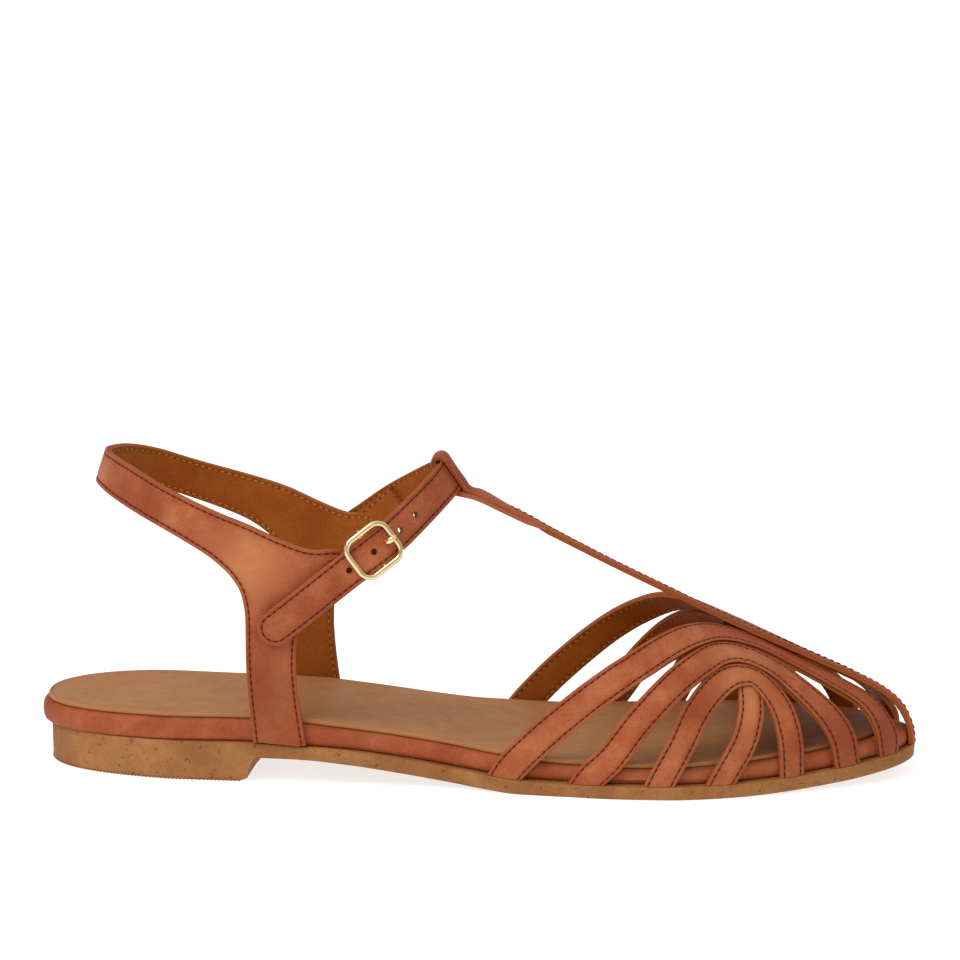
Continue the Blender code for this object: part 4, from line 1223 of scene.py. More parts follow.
def strap_line(route, side, rear_width, front_width):
    """A line beside a route, as (x, share) pairs above the sole. A side of -0.5 is one edge of the strap
    and 0.5 the other, and its width changes from the rear leg to the front leg."""
    line = []
    for i, here in enumerate(route):
        offset = side * (rear_width + (front_width - rear_width) * ease(i / (len(route) - 1)))
        before, after = route[max(0, i - 1)], route[min(len(route) - 1, i + 1)]
        _, by_x, by_share, normal = last_frame(here.x, here.y)
        along = (by_x * (after.x - before.x) + by_share * (after.y - before.y)).normalized()
        across = normal.cross(along) * offset
        mixed = by_x.dot(by_share)
        det = by_x.dot(by_x) * by_share.dot(by_share) - mixed**2
        move_x = (across.dot(by_x) * by_share.dot(by_share) - across.dot(by_share) * mixed) / det
        move_share = (across.dot(by_share) * by_x.dot(by_x) - across.dot(by_x) * mixed) / det
        line.append(Vector((here.x + move_x, here.y + move_share)))
    clipped = []
    for a, b in zip(line, line[1:]):
        if (a.y < 0) != (b.y < 0):
            foot = a.lerp(b, a.y / (a.y - b.y))
            clipped += [foot] if a.y < 0 else [a, foot]
        elif a.y >= 0:
            clipped.append(a)
    if line[-1].y >= 0:
        clipped.append(line[-1])
    return [(p.x, p.y * 100.0) for p in clipped]


def cage_rows(route_rows, rear_width, front_width, layer, inner_side, count):
    """Rows of points across a strap's outer face, from its rear foot to its front foot."""
    lines_across = 8
    if inner_side:
        route_rows = [(x - side_shift(x), share) for x, share in route_rows]
    route = spline(route_rows, 8)
    lines = []
    for j in range(lines_across + 1):
        flat = even_points(strap_line(route, j / lines_across - 0.5, rear_width, front_width), count)
        line = []
        for x, share in flat:
            share /= 100.0
            point, _, _, normal = last_frame(x, 1 - share if inner_side else share)
            line.append(point + normal * layer * LAYER_STEP * ease(share / LAYER_FULL_AT))
        lines.append(line)
    return [[line[i] for line in lines] for i in range(count)]


# Columns: name, route, width of the rear leg, width of the front leg, layer, points along
CAGE = [
    ("stub_d", STUB_D, 7.8, 7.8, 0, 34),
    ("arch_c", ARCH_C, 8.3, 7.6, 1, 84),
    ("arch_b", ARCH_B, 8.8, 8.2, 2, 110),
    ("arch_a", ARCH_A, 9.4, 7.2, 3, 140),
]
# Creases of each strap. Columns: place along in mm, slant, width, height, and the part of the width
CREASES = {
    "stub_d": [(7.0, 1.0, 1.0, -0.14, 0.0, 0.9), (9.5, 1.5, 1.2, 0.1, 0.1, 1.0)],
    "arch_c": [(8.0, -2.0, 1.1, -0.14, 0.0, 0.8), (43.8, 0.5, 1.0, 0.14, 0.1, 1.0),
               (45.6, 0.4, 0.5, -0.22, -0.1, 1.1), (66.0, -1.5, 1.2, -0.12, 0.0, 0.9)],
    "arch_b": [(12.0, -2.5, 1.3, -0.14, 0.1, 0.9), (15.0, -2.0, 1.4, 0.12, 0.0, 0.8),
               (68.7, 0.4, 0.5, -0.26, -0.1, 1.1), (70.6, 0.4, 1.0, 0.14, 0.0, 1.0),
               (101.0, 1.0, 1.2, -0.13, 0.1, 1.0)],
    "arch_a": [(14.0, -3.0, 1.4, -0.14, 0.0, 0.9), (17.5, -2.5, 1.6, 0.12, 0.1, 1.0),
               (52.0, 2.0, 1.5, -0.12, 0.0, 0.8), (94.6, 0.4, 0.7, -0.1, -0.1, 1.1),
               (127.0, 1.0, 1.2, -0.15, 0.0, 1.0), (130.0, 1.2, 1.3, 0.12, 0.1, 0.9)],
}


def make_cage():
    made = []
    for name, route, rear_width, front_width, layer, count in CAGE:
        for side_name, inner_side in (("outer", False), ("inner", True)):
            rows = cage_rows(route, rear_width, front_width, layer, inner_side, count)
            made += lined_strap(name + "_" + side_name, rows, INSIDE_CAGE, STRAP_THICKNESS, CREASES[name])
    return made


PIECES["upper"] = make_cage()

# %% [markdown]
# ## The ankle's oval
#
# Band, strap and buckle lie round the ankle. Seen from above that is an oval, so each of their points
# is a distance along it and a height. The band leans forward at the back, where a heel is round.

# %% Describe the ankle
BAND_THICKNESS = 2.0
OVAL_MIDDLE = (-58.2, -2.6)
OVAL_HALF_LENGTH = 53.0
OVAL_HALF_WIDTH = 32.4
BACK_LEAN = 18.0
LEAN_ENDS_AT = 60.0
POST_SPREAD_TOP = 36.0
POST_SPREAD_END = 14.0
BACK_LINE = (89.0, 0.3)
INNER_POST_FORWARD = 3.6
INNER_POST_FADE = (35.0, 60.0)
INSIDE_ANKLE = (-58.0, -2.6, 60.0)


def oval_table():
    """Distance along the oval from the back, and turn round it."""
    turns = np.linspace(0, math.tau, 721)
    middles = (turns[1:] + turns[:-1]) / 2
    speeds = np.hypot(OVAL_HALF_LENGTH * np.sin(middles), OVAL_HALF_WIDTH * np.cos(middles))
    return np.concatenate(([0.0], np.cumsum(speeds * math.tau / 720))), turns


OVAL_LENGTHS, OVAL_TURNS = oval_table()
OVAL_GIRTH = OVAL_LENGTHS[-1]


def oval_point(along):
    """Point and outward normal of the oval. A positive distance runs round the outer side."""
    turn = float(np.interp(abs(along), OVAL_LENGTHS, OVAL_TURNS))
    side = -1 if along >= 0 else 1
    point = Vector((OVAL_MIDDLE[0] - OVAL_HALF_LENGTH * math.cos(turn),
                    OVAL_MIDDLE[1] + side * OVAL_HALF_WIDTH * math.sin(turn), 0.0))
    normal = Vector((-math.cos(turn) / OVAL_HALF_LENGTH, side * math.sin(turn) / OVAL_HALF_WIDTH, 0.0))
    return point, normal.normalized()


def band_point(along, z, depth):
    """Point of the heel band's wall, depth in from its outer face."""
    if along < 0:
        start, end = INNER_POST_FADE
        along -= INNER_POST_FORWARD * ease((-along - start) / (end - start))
    point, normal = oval_point(along)
    lean = math.tan(math.radians(BACK_LEAN)) * max(0.0, 1 - abs(along) / LEAN_ENDS_AT)
    line_z = BACK_LINE[0] - BACK_LINE[1] * abs(along)
    point = point - normal * ((z - line_z) * lean + depth)
    if z < POST_SPREAD_TOP:
        side = -1 if along > 0 else 1
        rim = half_width(point.x) - rim_inset(point.x) + 0.1
        rim_y = middle(point.x) + side * (rim + BAND_THICKNESS - depth)
        point.y += (rim_y - point.y) * ease((POST_SPREAD_TOP - z) / (POST_SPREAD_TOP - POST_SPREAD_END))
    return Vector((point.x, point.y, z))


print("girth of the ankle's oval in mm:", round(float(OVAL_GIRTH)))

# %% [markdown]
# ## The heel band
#
# The band is one piece of leather: a post up each side, a lobe to which the ankle strap is sewn, and a
# narrow strap behind the heel. It is cut flat, so its two edges are drawn flat first. The columns near
# an edge run beside it at a fixed distance, so the stitches follow the lobe's curve.

# %% Cut and bend the heel band
# Columns: along_low, z_low, along_high, z_high
BAND_PATTERN = [
    (0.0, 83.4, 0.0, 93.4), (9.0, 82.7, 13.0, 92.6), (20.0, 80.0, 24.5, 90.2),
    (31.0, 76.2, 35.5, 86.4), (40.5, 72.3, 45.0, 82.9), (49.2, 67.9, 54.5, 79.4),
    (54.0, 64.6, 63.5, 76.2), (57.6, 61.2, 72.5, 72.2), (60.2, 57.2, 81.0, 69.3),
    (61.3, 53.4, 89.8, 68.8), (61.8, 50.0, 90.0, 62.5), (61.9, 46.5, 86.0, 56.0),
    (61.9, 43.5, 81.0, 49.5), (61.9, 40.0, 77.3, 44.0), (62.0, 34.0, 76.6, 36.0),
    (62.4, 27.0, 77.1, 28.0), (63.0, 19.5, 78.2, 19.5), (63.7, 11.9, 79.5, 11.9),
]


def flat_edges():
    """The low and the high edge of the flat band, from post to post, as rows of (along, z)."""
    edges = []
    for column in (0, 2):
        rows = [(row[column], row[column + 1], 0.0) for row in BAND_PATTERN]
        side = np.array([(p.x, p.y) for p in spline(rows, 7)])
        edges.append(np.concatenate([side[:0:-1] * (-1.0, 1.0), side]))
    return edges


def beside(edge, distance):
    """A flat line moved sideways from an edge, to its left along it."""
    along = directions(edge)
    return edge + np.stack([-along[:, 1], along[:, 0]], axis=1) * distance


def bent(flat, edges):
    """Flat places of the band as points on the standing shoe, with their distances from the edge."""
    return np.array([[band_point(along, z, 0.0) for along, z in row] for row in flat]), edges


def flat_columns(trim=0.0):
    """The flat band as rows of places, with each place's distance from the cut edge."""
    low, high = flat_edges()
    near = near_columns(trim)
    from_low = [beside(low, distance) for distance in near]
    from_high = [beside(high, -distance) for distance in near]
    between = [from_low[-1] + (from_high[-1] - from_low[-1]) * s for s in (0.2, 0.4, 0.6, 0.8)]
    columns = np.stack(from_low + between + from_high[::-1], axis=1)
    gap = np.linalg.norm(from_high[-1] - from_low[-1], axis=1)
    middle_edges = [near[-1] + gap * s for s in (0.2, 0.4, 0.4, 0.2)]
    side_edges = [np.full(len(low), distance) for distance in near]
    return columns, np.stack(side_edges + middle_edges + side_edges[::-1], axis=1)


# Columns: place along from post to post in mm, slant, width, height, and the part of the width
BAND_CREASES = [
    (70.0, 4.0, 1.8, -0.2, 0.2, 1.1), (76.0, 5.0, 2.0, 0.14, 0.1, 1.0),
    (196.0, -4.0, 1.8, -0.2, 0.0, 0.9), (190.0, -4.5, 2.0, 0.14, 0.1, 1.0),
    (30.0, 2.0, 1.6, -0.16, -0.1, 1.1), (236.0, -2.0, 1.6, -0.18, -0.1, 1.1),
    (240.5, -2.0, 1.7, 0.12, 0.0, 0.9), (128.0, 1.0, 2.2, -0.14, 0.0, 1.0),
]


def make_band():
    """The band's leather and lining from post to post, with their stitches."""
    outer_grid = bent(*flat_columns())
    out = outward_normals(outer_grid[0], INSIDE_ANKLE)
    sheets, face, back = two_layers(("heel_band_leather", "heel_band_lining"), outer_grid,
                                    bent(*flat_columns(LINING_TRIM)), out, BAND_THICKNESS, BAND_CREASES)
    return sheets + sewn("heel_band", face, out, back, -out)


PIECES["heel_band"] = make_band()

# %% [markdown]
# ## The ankle strap
#
# The strap starts under the inner lobe, runs through the T bar's loop and the buckle, and ends in a round
# tip with five punched holes. It is laid in its own frame: along, across, and out from its inner face.
# At the tip the columns bend round into arcs, so that the stitches run round it too.

# %% Lay the ankle strap
# Columns: along (outer side is positive), z, rise, tilt in degrees
ANKLE_STRAP = [
    (71.0, 46.8, 0.5, 1.0), (78.0, 52.4, 0.5, 1.0), (86.0, 58.9, 0.7, 3.0),
    (93.0, 64.4, 1.3, 7.0), (98.7, 68.7, 1.9, 10.0), (105.0, 73.1, 1.2, 12.0),
    (110.5, 76.8, -0.2, 13.0), (116.0, 80.1, -1.4, 14.0), (123.0, 83.2, -2.8, 19.0),
    (130.0, 85.2, -3.5, 28.0), (136.7, 85.9, -3.7, 37.0), (143.5, 85.5, -3.5, 28.0),
    (150.5, 83.6, -2.8, 19.0), (157.5, 81.2, -1.4, 14.0), (168.0, 76.2, 0.2, 10.0),
    (174.0, 72.7, 0.6, 7.0), (180.3, 68.2, 0.7, 5.0), (187.0, 63.4, 0.6, 3.0), (194.0, 58.4, 0.5, 2.0),
]
ANKLE_STRAP_WIDTH = 10.4
BUCKLE_ALONG = 98.7
OVAL_SHARE = 0.81
HOLE_RADIUS = 0.9
PRONG_HOLE = 4.3
HOLES = (-8.4, -0.1, PRONG_HOLE, 9.5, 16.3)     # places along the strap, from the buckle's bar
PRONG_RADIUS = 0.65


def strap_frame(along):
    """Middle of the ankle strap's inner face, its direction, its width direction and its normal."""
    def centre(a):
        z, rise, tilt = [smooth(ANKLE_STRAP, a, column) for column in (1, 2, 3)]
        point, flat = oval_point(a if a <= OVAL_GIRTH / 2 else a - OVAL_GIRTH)
        turn = math.radians(tilt)
        normal = flat * math.cos(turn) + Vector((0, 0, 1)) * math.sin(turn)
        return point + flat * rise + Vector((0, 0, z)), normal

    point, normal = centre(along)
    direction = (centre(along + 0.5)[0] - centre(along - 0.5)[0]).normalized()
    normal = (normal - direction * normal.dot(direction)).normalized()
    return point, direction, direction.cross(normal).normalized(), normal


def ankle_rows(trim=0.0):
    """Rows of points across the strap's inner face with their normals and distances from the edge."""
    half = ANKLE_STRAP_WIDTH / 2
    quarter = 3.6
    offsets = near_columns(trim) + [quarter, half]
    distances = np.array(offsets + offsets[-2::-1])
    sides = np.array([-1.0] * (len(offsets) - 1) + [0.0] + [1.0] * (len(offsets) - 1))
    points, normals = [], []
    start, end = ANKLE_STRAP[0][0], ANKLE_STRAP[-1][0]
    for degrees in range(90, 0, -9):
        turn = math.radians(degrees)
        point, direction, across, normal = strap_frame(start)
        reach = half - distances
        points.append([np.array(point - direction * r * math.sin(turn) + across * r * s * math.cos(turn))
                       for r, s in zip(reach, sides)])
        normals.append([np.array(normal)] * len(reach))
    for along in np.linspace(start, end, 150):
        point, _, across, normal = strap_frame(along)
        points.append([np.array(point + across * r * s) for r, s in zip(half - distances, sides)])
        normals.append([np.array(normal)] * len(distances))
    return np.array(points), np.array(normals), np.tile(distances, (len(points), 1))


def punch(pieces, start, end, radius):
    """A round hole through pieces. The punch carries the groove's number, so the hole's wall gets the
    groove's painted shade.
    """
    bpy.ops.object.select_all(action="DESELECT")
    bpy.ops.mesh.primitive_cylinder_add(vertices=20, radius=radius * MM, depth=(end - start).length * MM)
    tool = new_piece("punch")
    turn = (end - start).to_track_quat("Z", "Y").to_matrix().to_4x4()
    tool.data.transform(Matrix.Translation((start + end) / 2 * MM) @ turn)
    carry(tool, "edge", [STITCH_IN] * len(tool.data.vertices))
    for piece in pieces:
        cut_out(piece, tool)
    bpy.data.objects.remove(tool)


# Columns: place along from the tip in mm, slant, width, height, and the part of the width
ANKLE_CREASES = [
    (27.0, 0.5, 1.4, -0.14, 0.1, 0.9), (46.0, 1.0, 1.3, -0.2, -0.1, 1.1),
    (49.5, 1.0, 1.6, 0.12, 0.0, 1.0), (58.0, -1.0, 1.6, -0.14, 0.0, 0.9),
    (98.0, 0.5, 1.8, -0.12, 0.0, 1.0), (120.0, 1.0, 1.6, -0.14, 0.1, 1.0),
]


def round_the_tip(grid):
    """The stitches' column of a grid from the sewn end round the tip and back."""
    return np.concatenate([grid[:0:-1, STITCH_COLUMN], grid[:, -1 - STITCH_COLUMN]])


def make_ankle_strap():
    """The strap's leather and lining with its holes, and one row of stitches that runs round the tip."""
    points, out, edges = ankle_rows()
    back_points, _, back_edges = ankle_rows(LINING_TRIM)
    sheets, face, back = two_layers(("ankle_strap_leather", "ankle_strap_lining"), (points, edges),
                                    (back_points, back_edges), out, BAND_THICKNESS, ANKLE_CREASES,
                                    base=BAND_THICKNESS)
    for distance in HOLES:
        point, _, _, normal = strap_frame(BUCKLE_ALONG + distance * OVAL_SHARE)
        radius = PRONG_RADIUS if distance == PRONG_HOLE else HOLE_RADIUS
        punch(sheets, point - normal * 2, point + normal * 4, radius)
    face_line = (round_the_tip(face), round_the_tip(out))
    back_line = (round_the_tip(back), round_the_tip(-out))
    return sheets + [
        stitches("ankle_strap_thread", [face_line], DARK_THREAD),
        stitches("ankle_strap_lining_thread", [back_line], PALE_THREAD),
    ]


PIECES["ankle_strap"] = make_ankle_strap()

# %% [markdown]
# ## The T bar
#
# One long strip comes up from the toe. At the top it folds round the ankle strap and is sewn to its own
# back, so the strap can slide through the loop. The strip is one ribbon here too, laid through all its
# places, and its lining ends where the fold comes back.

# %% Fold the T bar
# Columns: x, z, thickness, bank in degrees
T_BAR = [
    (-1.5, 81.1, 2.6, 2.0), (0.5, 80.1, 2.6, 4.0), (7.5, 76.6, 2.7, 8.0), (15.0, 72.9, 2.6, 10.0),
    (24.5, 68.1, 2.1, 11.0), (40.0, 60.4, 1.9, 11.5), (57.0, 52.4, 1.9, 11.5), (76.0, 43.5, 1.9, 11.0),
    (95.0, 35.5, 1.9, 10.0), (108.0, 30.0, 1.9, 10.0), (116.0, 26.2, 1.9, 11.0), (121.5, 22.7, 1.9, 10.0),
    (124.8, 19.2, 1.9, 8.0), (127.0, 15.0, 1.9, 4.0), (127.9, 11.8, 1.9, 1.0), (128.0, 9.3, 1.9, 0.0),
]
T_BAR_WIDTH = 10.6
LOOP_WALL = 1.5
LOOP_LAYERS_APART = 1.15
LOOP_LEATHER = 1.6
FOLD_ENDS_AT = 20.5        # x where the folded end is sewn down
STRIP_STARTS_AT = 9.0      # x where the strip leaves the bar's own line for the loop
T_BAR_LINING = 0.85
T_BAR_SEWN = 0.66          # share of the strip's length that is sewn, from the toe
T_BAR_THREAD_LIFT = 0.2
INSIDE_T_BAR = (60.0, 0.0, 5.0)


def ribbon_frame(line, i):
    """Middle of the T bar at a point of its line, with its width direction and its outer normal."""
    here, before, after = line[i], line[max(0, i - 1)], line[min(len(line) - 1, i + 1)]
    along = Vector((after.x - before.x, 0.0, after.y - before.y)).normalized()
    level = Vector((0.0, 1.0, 0.0))
    up = along.cross(level)
    bank = math.radians(here.w)
    side = level * math.cos(bank) - up * math.sin(bank)
    return Vector((here.x, t_bar_y(here.x), here.y)), side, up * math.cos(bank) + level * math.sin(bank)


def loop_place(beside_middle, width_offset, height):
    """Point of the loop: an offset across the ankle strap, and a height over its thickness's middle."""
    front = OVAL_GIRTH / 2 + T_BAR_Y[0] - OVAL_MIDDLE[1]
    point, _, across, normal = strap_frame(front + beside_middle)
    return point + across * width_offset + normal * (BAND_THICKNESS / 2 + height)


def loop_line(k):
    """Outer face of the fold at a share of the T bar's width, from its upper to its lower layer."""
    clear = BAND_THICKNESS / 2 + GAP + LOOP_WALL
    half = ANKLE_STRAP_WIDTH / 2
    top = half + 1.5 * GAP + LOOP_WALL
    places = [(half + 1.2, clear - 0.1), (half - 1.0, clear), (0.0, clear), (clear - top + 0.2, clear)]
    for degrees in (60, 30, 0, -30, -60):
        turn = math.radians(degrees)
        places.append((clear - top - clear * math.cos(turn), clear * math.sin(turn)))
    places += [(clear - top + 0.2, -clear), (0.0, -clear), (half - 0.8, -clear), (half + 1.1, -1.3)]
    rows = [Vector(row) for row in T_BAR]
    width = (T_BAR_WIDTH - 0.2) * k
    reach = (LOOP_LAYERS_APART + LOOP_WALL) / 2
    ends = []
    for row, layer in ((2, 1), (1, 1), (1, -1), (2, -1)):
        centre, side, face = ribbon_frame(rows, row)
        ends.append(centre + side * width + face * layer * reach)
    return spline(ends[:2] + [loop_place(width, w, h) for w, h in places] + ends[2:], 5)


def t_bar_lines():
    """Lines along the T bar's outer face from the toe through the fold to its sewn end, and its lining's
    lines from the toe to where the fold ends. There both sink away softly."""
    route = spline(T_BAR, 8)
    whole, back = [], []
    for k in np.linspace(-0.5, 0.5, 9):
        upper, lower, under = [], [], []
        for i, here in enumerate(route):
            centre, side, face = ribbon_frame(route, i)
            place = centre + side * T_BAR_WIDTH * k
            past_fold = here.x - FOLD_ENDS_AT
            if here.x > STRIP_STARTS_AT:
                upper.append(place + face * here.z / 2)
                if past_fold < 0:
                    sunk = 0.6 * ease((past_fold + 6.5) / 6.0)
                    lower.append(place - face * (here.z / 2 - sunk))
            if past_fold > -3.0:
                sunk = 0.5 * (1 - ease((past_fold + 3.0) / 4.0))
                under.append(place - face * (here.z / 2 - sunk))
        whole.append(even_points(upper[::-1] + loop_line(k) + lower, 220))
        back.append(even_points(under[::-1], 120))
    return np.array(whole).transpose(1, 0, 2), np.array(back).transpose(1, 0, 2)


# Columns: place along from the toe in mm, slant, width, height, and the part of the width
T_BAR_CREASES = [
    (7.0, 0.3, 1.2, -0.15, 0.0, 1.0), (12.0, 0.5, 1.4, 0.1, 0.0, 0.9), (26.0, 0.5, 1.8, -0.12, 0.1, 0.9),
    (139.0, 0.5, 1.2, -0.16, -0.1, 1.1),
]


def make_t_bar():
    """The folded strip and its lining. The stitches stop where the loop begins."""
    whole, under = t_bar_lines()
    points, edges = columns_across(whole)
    out = outward_normals(points, INSIDE_T_BAR)
    heights = section_heights(edges) + crease_heights(points, edges, T_BAR_CREASES)
    face = points + out * heights[:, :, None]
    strip = leather_sheet("t_bar_strip", face, out, edges, LOOP_LEATHER, T_BAR_LEATHER)
    points, edges = columns_across(under, LINING_TRIM)
    back_out = -outward_normals(points, INSIDE_T_BAR)
    back = points + back_out * section_heights(edges, LINING_SWELL)[:, :, None]
    lining = leather_sheet("t_bar_lining", back, back_out, edges, T_BAR_LINING, LINING_LEATHER)
    rows = int(len(face) * T_BAR_SEWN)
    return [strip, lining] + sewn("t_bar", face[:rows], out[:rows], back, back_out, T_BAR_THREAD_LIFT)


PIECES["upper"] += make_t_bar()

# %% [markdown]
# ## The tabs
#
# Under the strap, each lobe runs out in a narrow tab. The outer tab wraps round the buckle's bar and is
# slotted for the prong. The inner tab is the one to which the ankle strap is sewn, with a crossed row.

# %% Wrap the tabs
TAB_WIDTH = 9.0
TAB_START = (80.0, 53.5)
INNER_TAB_LIFT = 6.5
TAB_SKIN = 0.15
SLEEVE_RADIUS = 2.1
SLEEVE_LEATHER = 0.95
# The slot for the prong: where its middle lies along the strap, and its length, width and depth
SLOT_ALONG = 0.4
PRONG_SLOT = (7.4, 2.4, 8.0)
# The tab's outer face round the bar. Columns: along the strap, height over the bar
SLEEVE_PATH = [
    (-2.2, 0.9), (-1.4, 1.56), (-0.1, 2.1), (1.4, 1.56), (2.1, 0.0), (1.4, -1.56), (0.0, -2.1),
    (-2.2, -2.0), (-4.6, -1.85), (-7.2, -1.8),
]


def buckle_point(along, across, height):
    """Point in the buckle's own axes: along the strap, across it, and out from the centre bar."""
    point, direction, side, normal = strap_frame(BUCKLE_ALONG)
    base = point - normal * (SLEEVE_RADIUS + GAP)
    return base + direction * along + side * across + normal * height


def tab_line(side, lift, offset, wrapped):
    """A line along a tab's outer face, an offset from its middle."""
    end_z = smooth(ANKLE_STRAP, BUCKLE_ALONG, 1)
    slope = (end_z - TAB_START[1]) / (BUCKLE_ALONG - TAB_START[0])
    reach = math.hypot(1, slope)
    line = []
    for share in np.linspace(0, 1, 15):
        along = TAB_START[0] + (BUCKLE_ALONG - 2.2 * wrapped - 0.6 - TAB_START[0]) * share
        z = TAB_START[1] + slope * (along - TAB_START[0]) + lift
        point = band_point(side * (along + offset * slope / reach), z - offset / reach, TAB_SKIN)
        if wrapped:
            from_bar = (along - BUCKLE_ALONG) / OVAL_SHARE
            on_bar = buckle_point(from_bar, offset, 0.55)
            point = point.lerp(on_bar, ease((from_bar + 10.0) / 7.0))
        line.append(point)
    if wrapped:
        line += [buckle_point(u, offset, h) for u, h in SLEEVE_PATH]
    return spline(line, 4)


def tab_rows(side, lift, wrapped):
    """Rows of points across a tab's outer face. The side is 1 outside and -1 inside."""
    lines = [even_points(tab_line(side, lift, TAB_WIDTH * share, wrapped), 90)
             for share in np.linspace(-0.5, 0.5, 9)]
    return np.array(lines).transpose(1, 0, 2)


def make_tabs():
    """The slotted tab round the buckle's bar, and the sewn tab of the inner lobe."""
    points, edges = columns_across(tab_rows(1, 0.0, True))
    out = outward_normals(points, INSIDE_ANKLE)
    outer = leather_sheet("buckle_tab", points, out, edges, SLEEVE_LEATHER, STRAP_LEATHER)
    length, width, depth = PRONG_SLOT
    bpy.ops.object.select_all(action="DESELECT")
    bpy.ops.mesh.primitive_cube_add(size=1)
    tool = new_piece("slot")
    for vertex in tool.data.vertices:
        x, y, z = vertex.co
        vertex.co = buckle_point(SLOT_ALONG + x * length, y * width, z * depth) * MM
    cut_out(outer, tool)
    bpy.data.objects.remove(tool)
    inner = lined_strap("inner_tab", tab_rows(-1, INNER_TAB_LIFT, False), INSIDE_ANKLE,
                        BAND_THICKNESS - 2 * TAB_SKIN)
    return [outer] + inner


PIECES["heel_band"] += make_tabs()

# %% [markdown]
# ## The buckle
#
# The ring starts as a flat rectangle. Its corners are bevelled round, it is inset to a frame, pulled up
# to its height, and its edges are softened. It is made lying flat at the origin, then its points are
# moved into the buckle's place. The bar, its legs and the prong follow in the same axes.

# %% Form the buckle
BUCKLE_LENGTH = 14.8
BUCKLE_WIDTH = 13.5
BUCKLE_CORNER = 3.7
BUCKLE_BAR = 1.55
BUCKLE_SHIFT = -0.45       # mm across the strap: the ring sits a little high on its bar
BUCKLE_BOW = 0.06          # how far its sides swell outward, as a share
BUCKLE_HEIGHT = 1.4
RING_ROUNDING = 0.52
RING_SOFTENING = 0.08
CENTRE_BAR_RADIUS = 0.8
LEG_RADIUS = 0.75
RING_UNDER = SLEEVE_RADIUS + GAP + BAND_THICKNESS - 0.3
RING_TOP = RING_UNDER + BUCKLE_HEIGHT
# Middle line of the prong. Columns: along the strap, out from the centre bar
PRONG_PATH = [
    (1.2, 0.0), (2.3, 0.3), (3.2, 1.6), (3.8, 3.6), (4.4, 5.6), (5.5, RING_TOP + 0.9),
    (6.6, RING_TOP + 1.0), (7.5, RING_TOP + 0.9),
]
# Half the prong's width, stepped down at its tip. Columns: along the strap, half width
PRONG_STEPS = [(4.6, PRONG_RADIUS), (5.0, 0.9), (6.3, 0.9), (6.5, 0.68), (7.3, 0.62), (7.5, 0.4)]
PRONG_EYE = CENTRE_BAR_RADIUS + GAP
PRONG_EYE_WALL = 0.8


def to_buckle(piece):
    """Moves a piece's points from the buckle's axes, in mm, to their place in metres."""
    for vertex in piece.data.vertices:
        vertex.co = buckle_point(*vertex.co) * MM
    piece.data.update()
    turn_outward()


def make_ring():
    """The square ring, bevelled from one rectangle."""
    bpy.ops.object.select_all(action="DESELECT")
    bpy.ops.mesh.primitive_plane_add(size=1)
    ring_piece = new_piece("buckle_ring")
    for vertex in ring_piece.data.vertices:
        vertex.co = (vertex.co.x * BUCKLE_LENGTH, vertex.co.y * BUCKLE_WIDTH, 0)
    bpy.ops.object.mode_set(mode="EDIT")
    bpy.ops.mesh.select_all(action="SELECT")
    bpy.ops.mesh.bevel(offset=BUCKLE_CORNER, segments=10, affect="VERTICES")
    bpy.ops.mesh.select_all(action="SELECT")
    bpy.ops.mesh.inset(thickness=BUCKLE_BAR)
    bpy.ops.mesh.delete(type="FACE")
    bpy.ops.mesh.select_all(action="SELECT")
    bpy.ops.mesh.extrude_region_move(TRANSFORM_OT_translate={"value": (0, 0, BUCKLE_HEIGHT)})
    bpy.ops.object.mode_set(mode="OBJECT")
    turn_outward()
    soften(ring_piece, RING_ROUNDING, 4, 50)
    soften(ring_piece, RING_SOFTENING, 1, 50)
    for vertex in ring_piece.data.vertices:
        x, y, z = vertex.co
        bow_x = 1 + BUCKLE_BOW * (1 - (2 * y / BUCKLE_WIDTH) ** 2)
        bow_y = 1 + BUCKLE_BOW * (1 - (2 * x / BUCKLE_LENGTH) ** 2)
        vertex.co = (x * bow_x, y * bow_y + BUCKLE_SHIFT, z + RING_UNDER)
    to_buckle(ring_piece)
    return finished(ring_piece, BRASS, 30)


def metal_rod(name, start, end, radius, sides=20):
    """A bar with softened ends between two places in the buckle's axes."""
    start, end = Vector(start), Vector(end)
    bpy.ops.object.select_all(action="DESELECT")
    bpy.ops.mesh.primitive_cylinder_add(vertices=sides, radius=radius, depth=(end - start).length)
    bar = new_piece(name)
    soften(bar, radius * 0.25, 2, 60)
    turn = (end - start).to_track_quat("Z", "Y").to_matrix().to_4x4()
    bar.data.transform(Matrix.Translation((start + end) / 2) @ turn)
    to_buckle(bar)
    return finished(bar, BRASS, 40)


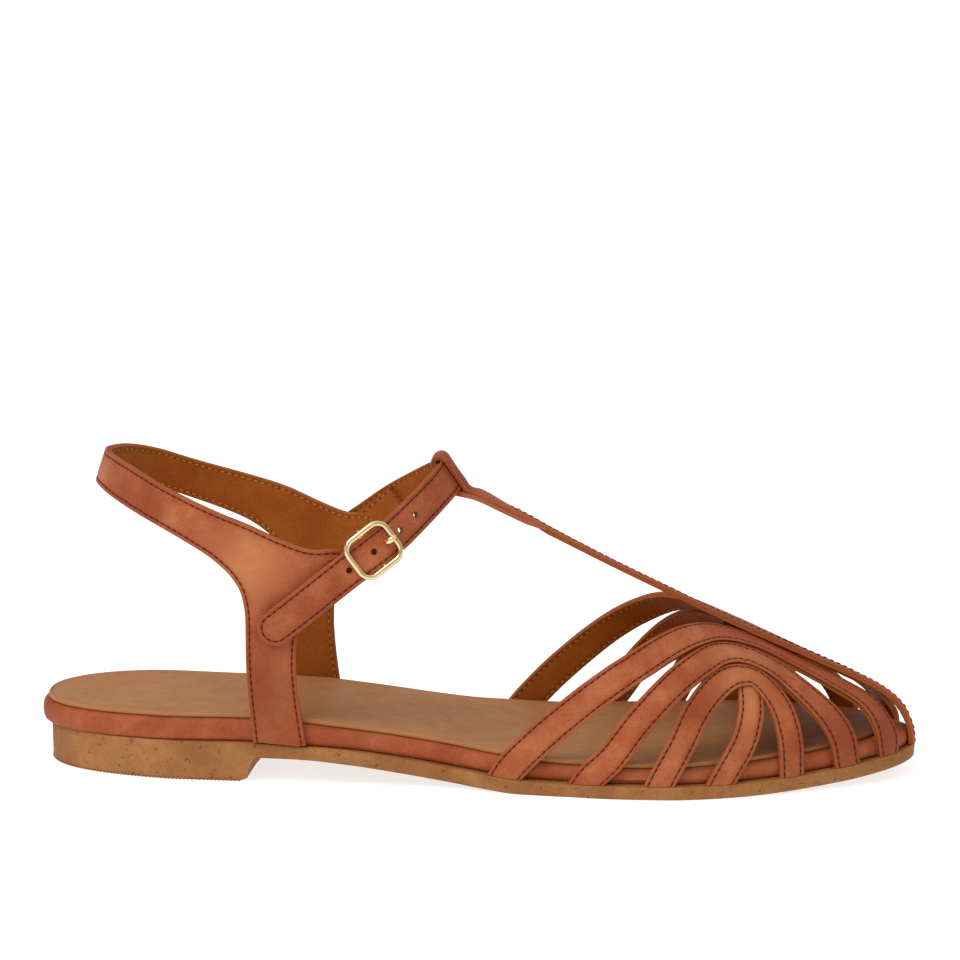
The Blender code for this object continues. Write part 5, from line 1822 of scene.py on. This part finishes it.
def make_bars():
    """The centre bar, and the two legs that hold the ring over it."""
    reach = BUCKLE_WIDTH / 2 - BUCKLE_BAR / 2
    low, high = BUCKLE_SHIFT - reach, BUCKLE_SHIFT + reach
    bars = [metal_rod("buckle_bar", (0, low - 0.4, 0), (0, high + 0.4, 0), CENTRE_BAR_RADIUS)]
    for place, label in ((low, "rear"), (high, "front")):
        bars.append(metal_rod("buckle_leg_" + label, (0, place, -0.3),
                              (0, place, RING_UNDER + BUCKLE_HEIGHT / 2), LEG_RADIUS, 16))
    return bars


def make_prong():
    """The prong: a round wire with a stepped, blunt tip, and its eye round the bar."""
    line = np.array([(p.x, p.y) for p in spline([(*row, 0.0) for row in PRONG_PATH], 6)])
    along = directions(line)
    radii = np.interp(line[:, 0], *zip(*PRONG_STEPS))
    last = len(line) - 1
    sides = 16
    turns = np.arange(sides) * math.tau / sides
    rings = []
    for i in [0] + list(range(last + 1)) + [last]:
        radius = 0.0 if len(rings) in (0, last + 2) else radii[i]
        thick = min(radius, PRONG_RADIUS)
        rings.append(np.array([
            buckle_point(line[i, 0] - along[i, 1] * thick * math.cos(t), radius * math.sin(t),
                         line[i, 1] + along[i, 0] * thick * math.cos(t)) for t in turns
        ]))
    wire = finished(lofted("prong_wire", rings), BRASS, 40)
    bpy.ops.object.select_all(action="DESELECT")
    wall = PRONG_EYE_WALL / 2
    bpy.ops.mesh.primitive_torus_add(major_segments=32, minor_segments=12, major_radius=PRONG_EYE + wall,
                                     minor_radius=wall, rotation=(math.pi / 2, 0, 0))
    eye = new_piece("prong_eye")
    bpy.ops.object.transform_apply(location=True, rotation=True, scale=True)
    to_buckle(eye)
    return [wire, finished(eye, BRASS, 40)]


PIECES["buckle_frame"] = [make_ring()] + make_bars()
PIECES["buckle_prong"] = make_prong()

# %% [markdown]
# ## Tie every piece to the imported model
#
# Nothing on the sandal moves, so every piece rides on the one body. Each piece stands for the packed
# solid of its own part, which is hidden.

for node, pieces in PIECES.items():
    for piece in pieces:
        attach(piece, "root")
        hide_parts(node)
    print(node, [piece.name for piece in pieces])

every_piece = [piece for pieces in PIECES.values() for piece in pieces]
triangles = sum(len(face.vertices) - 2 for piece in every_piece for face in piece.data.polygons)
print("triangles in all:", triangles)
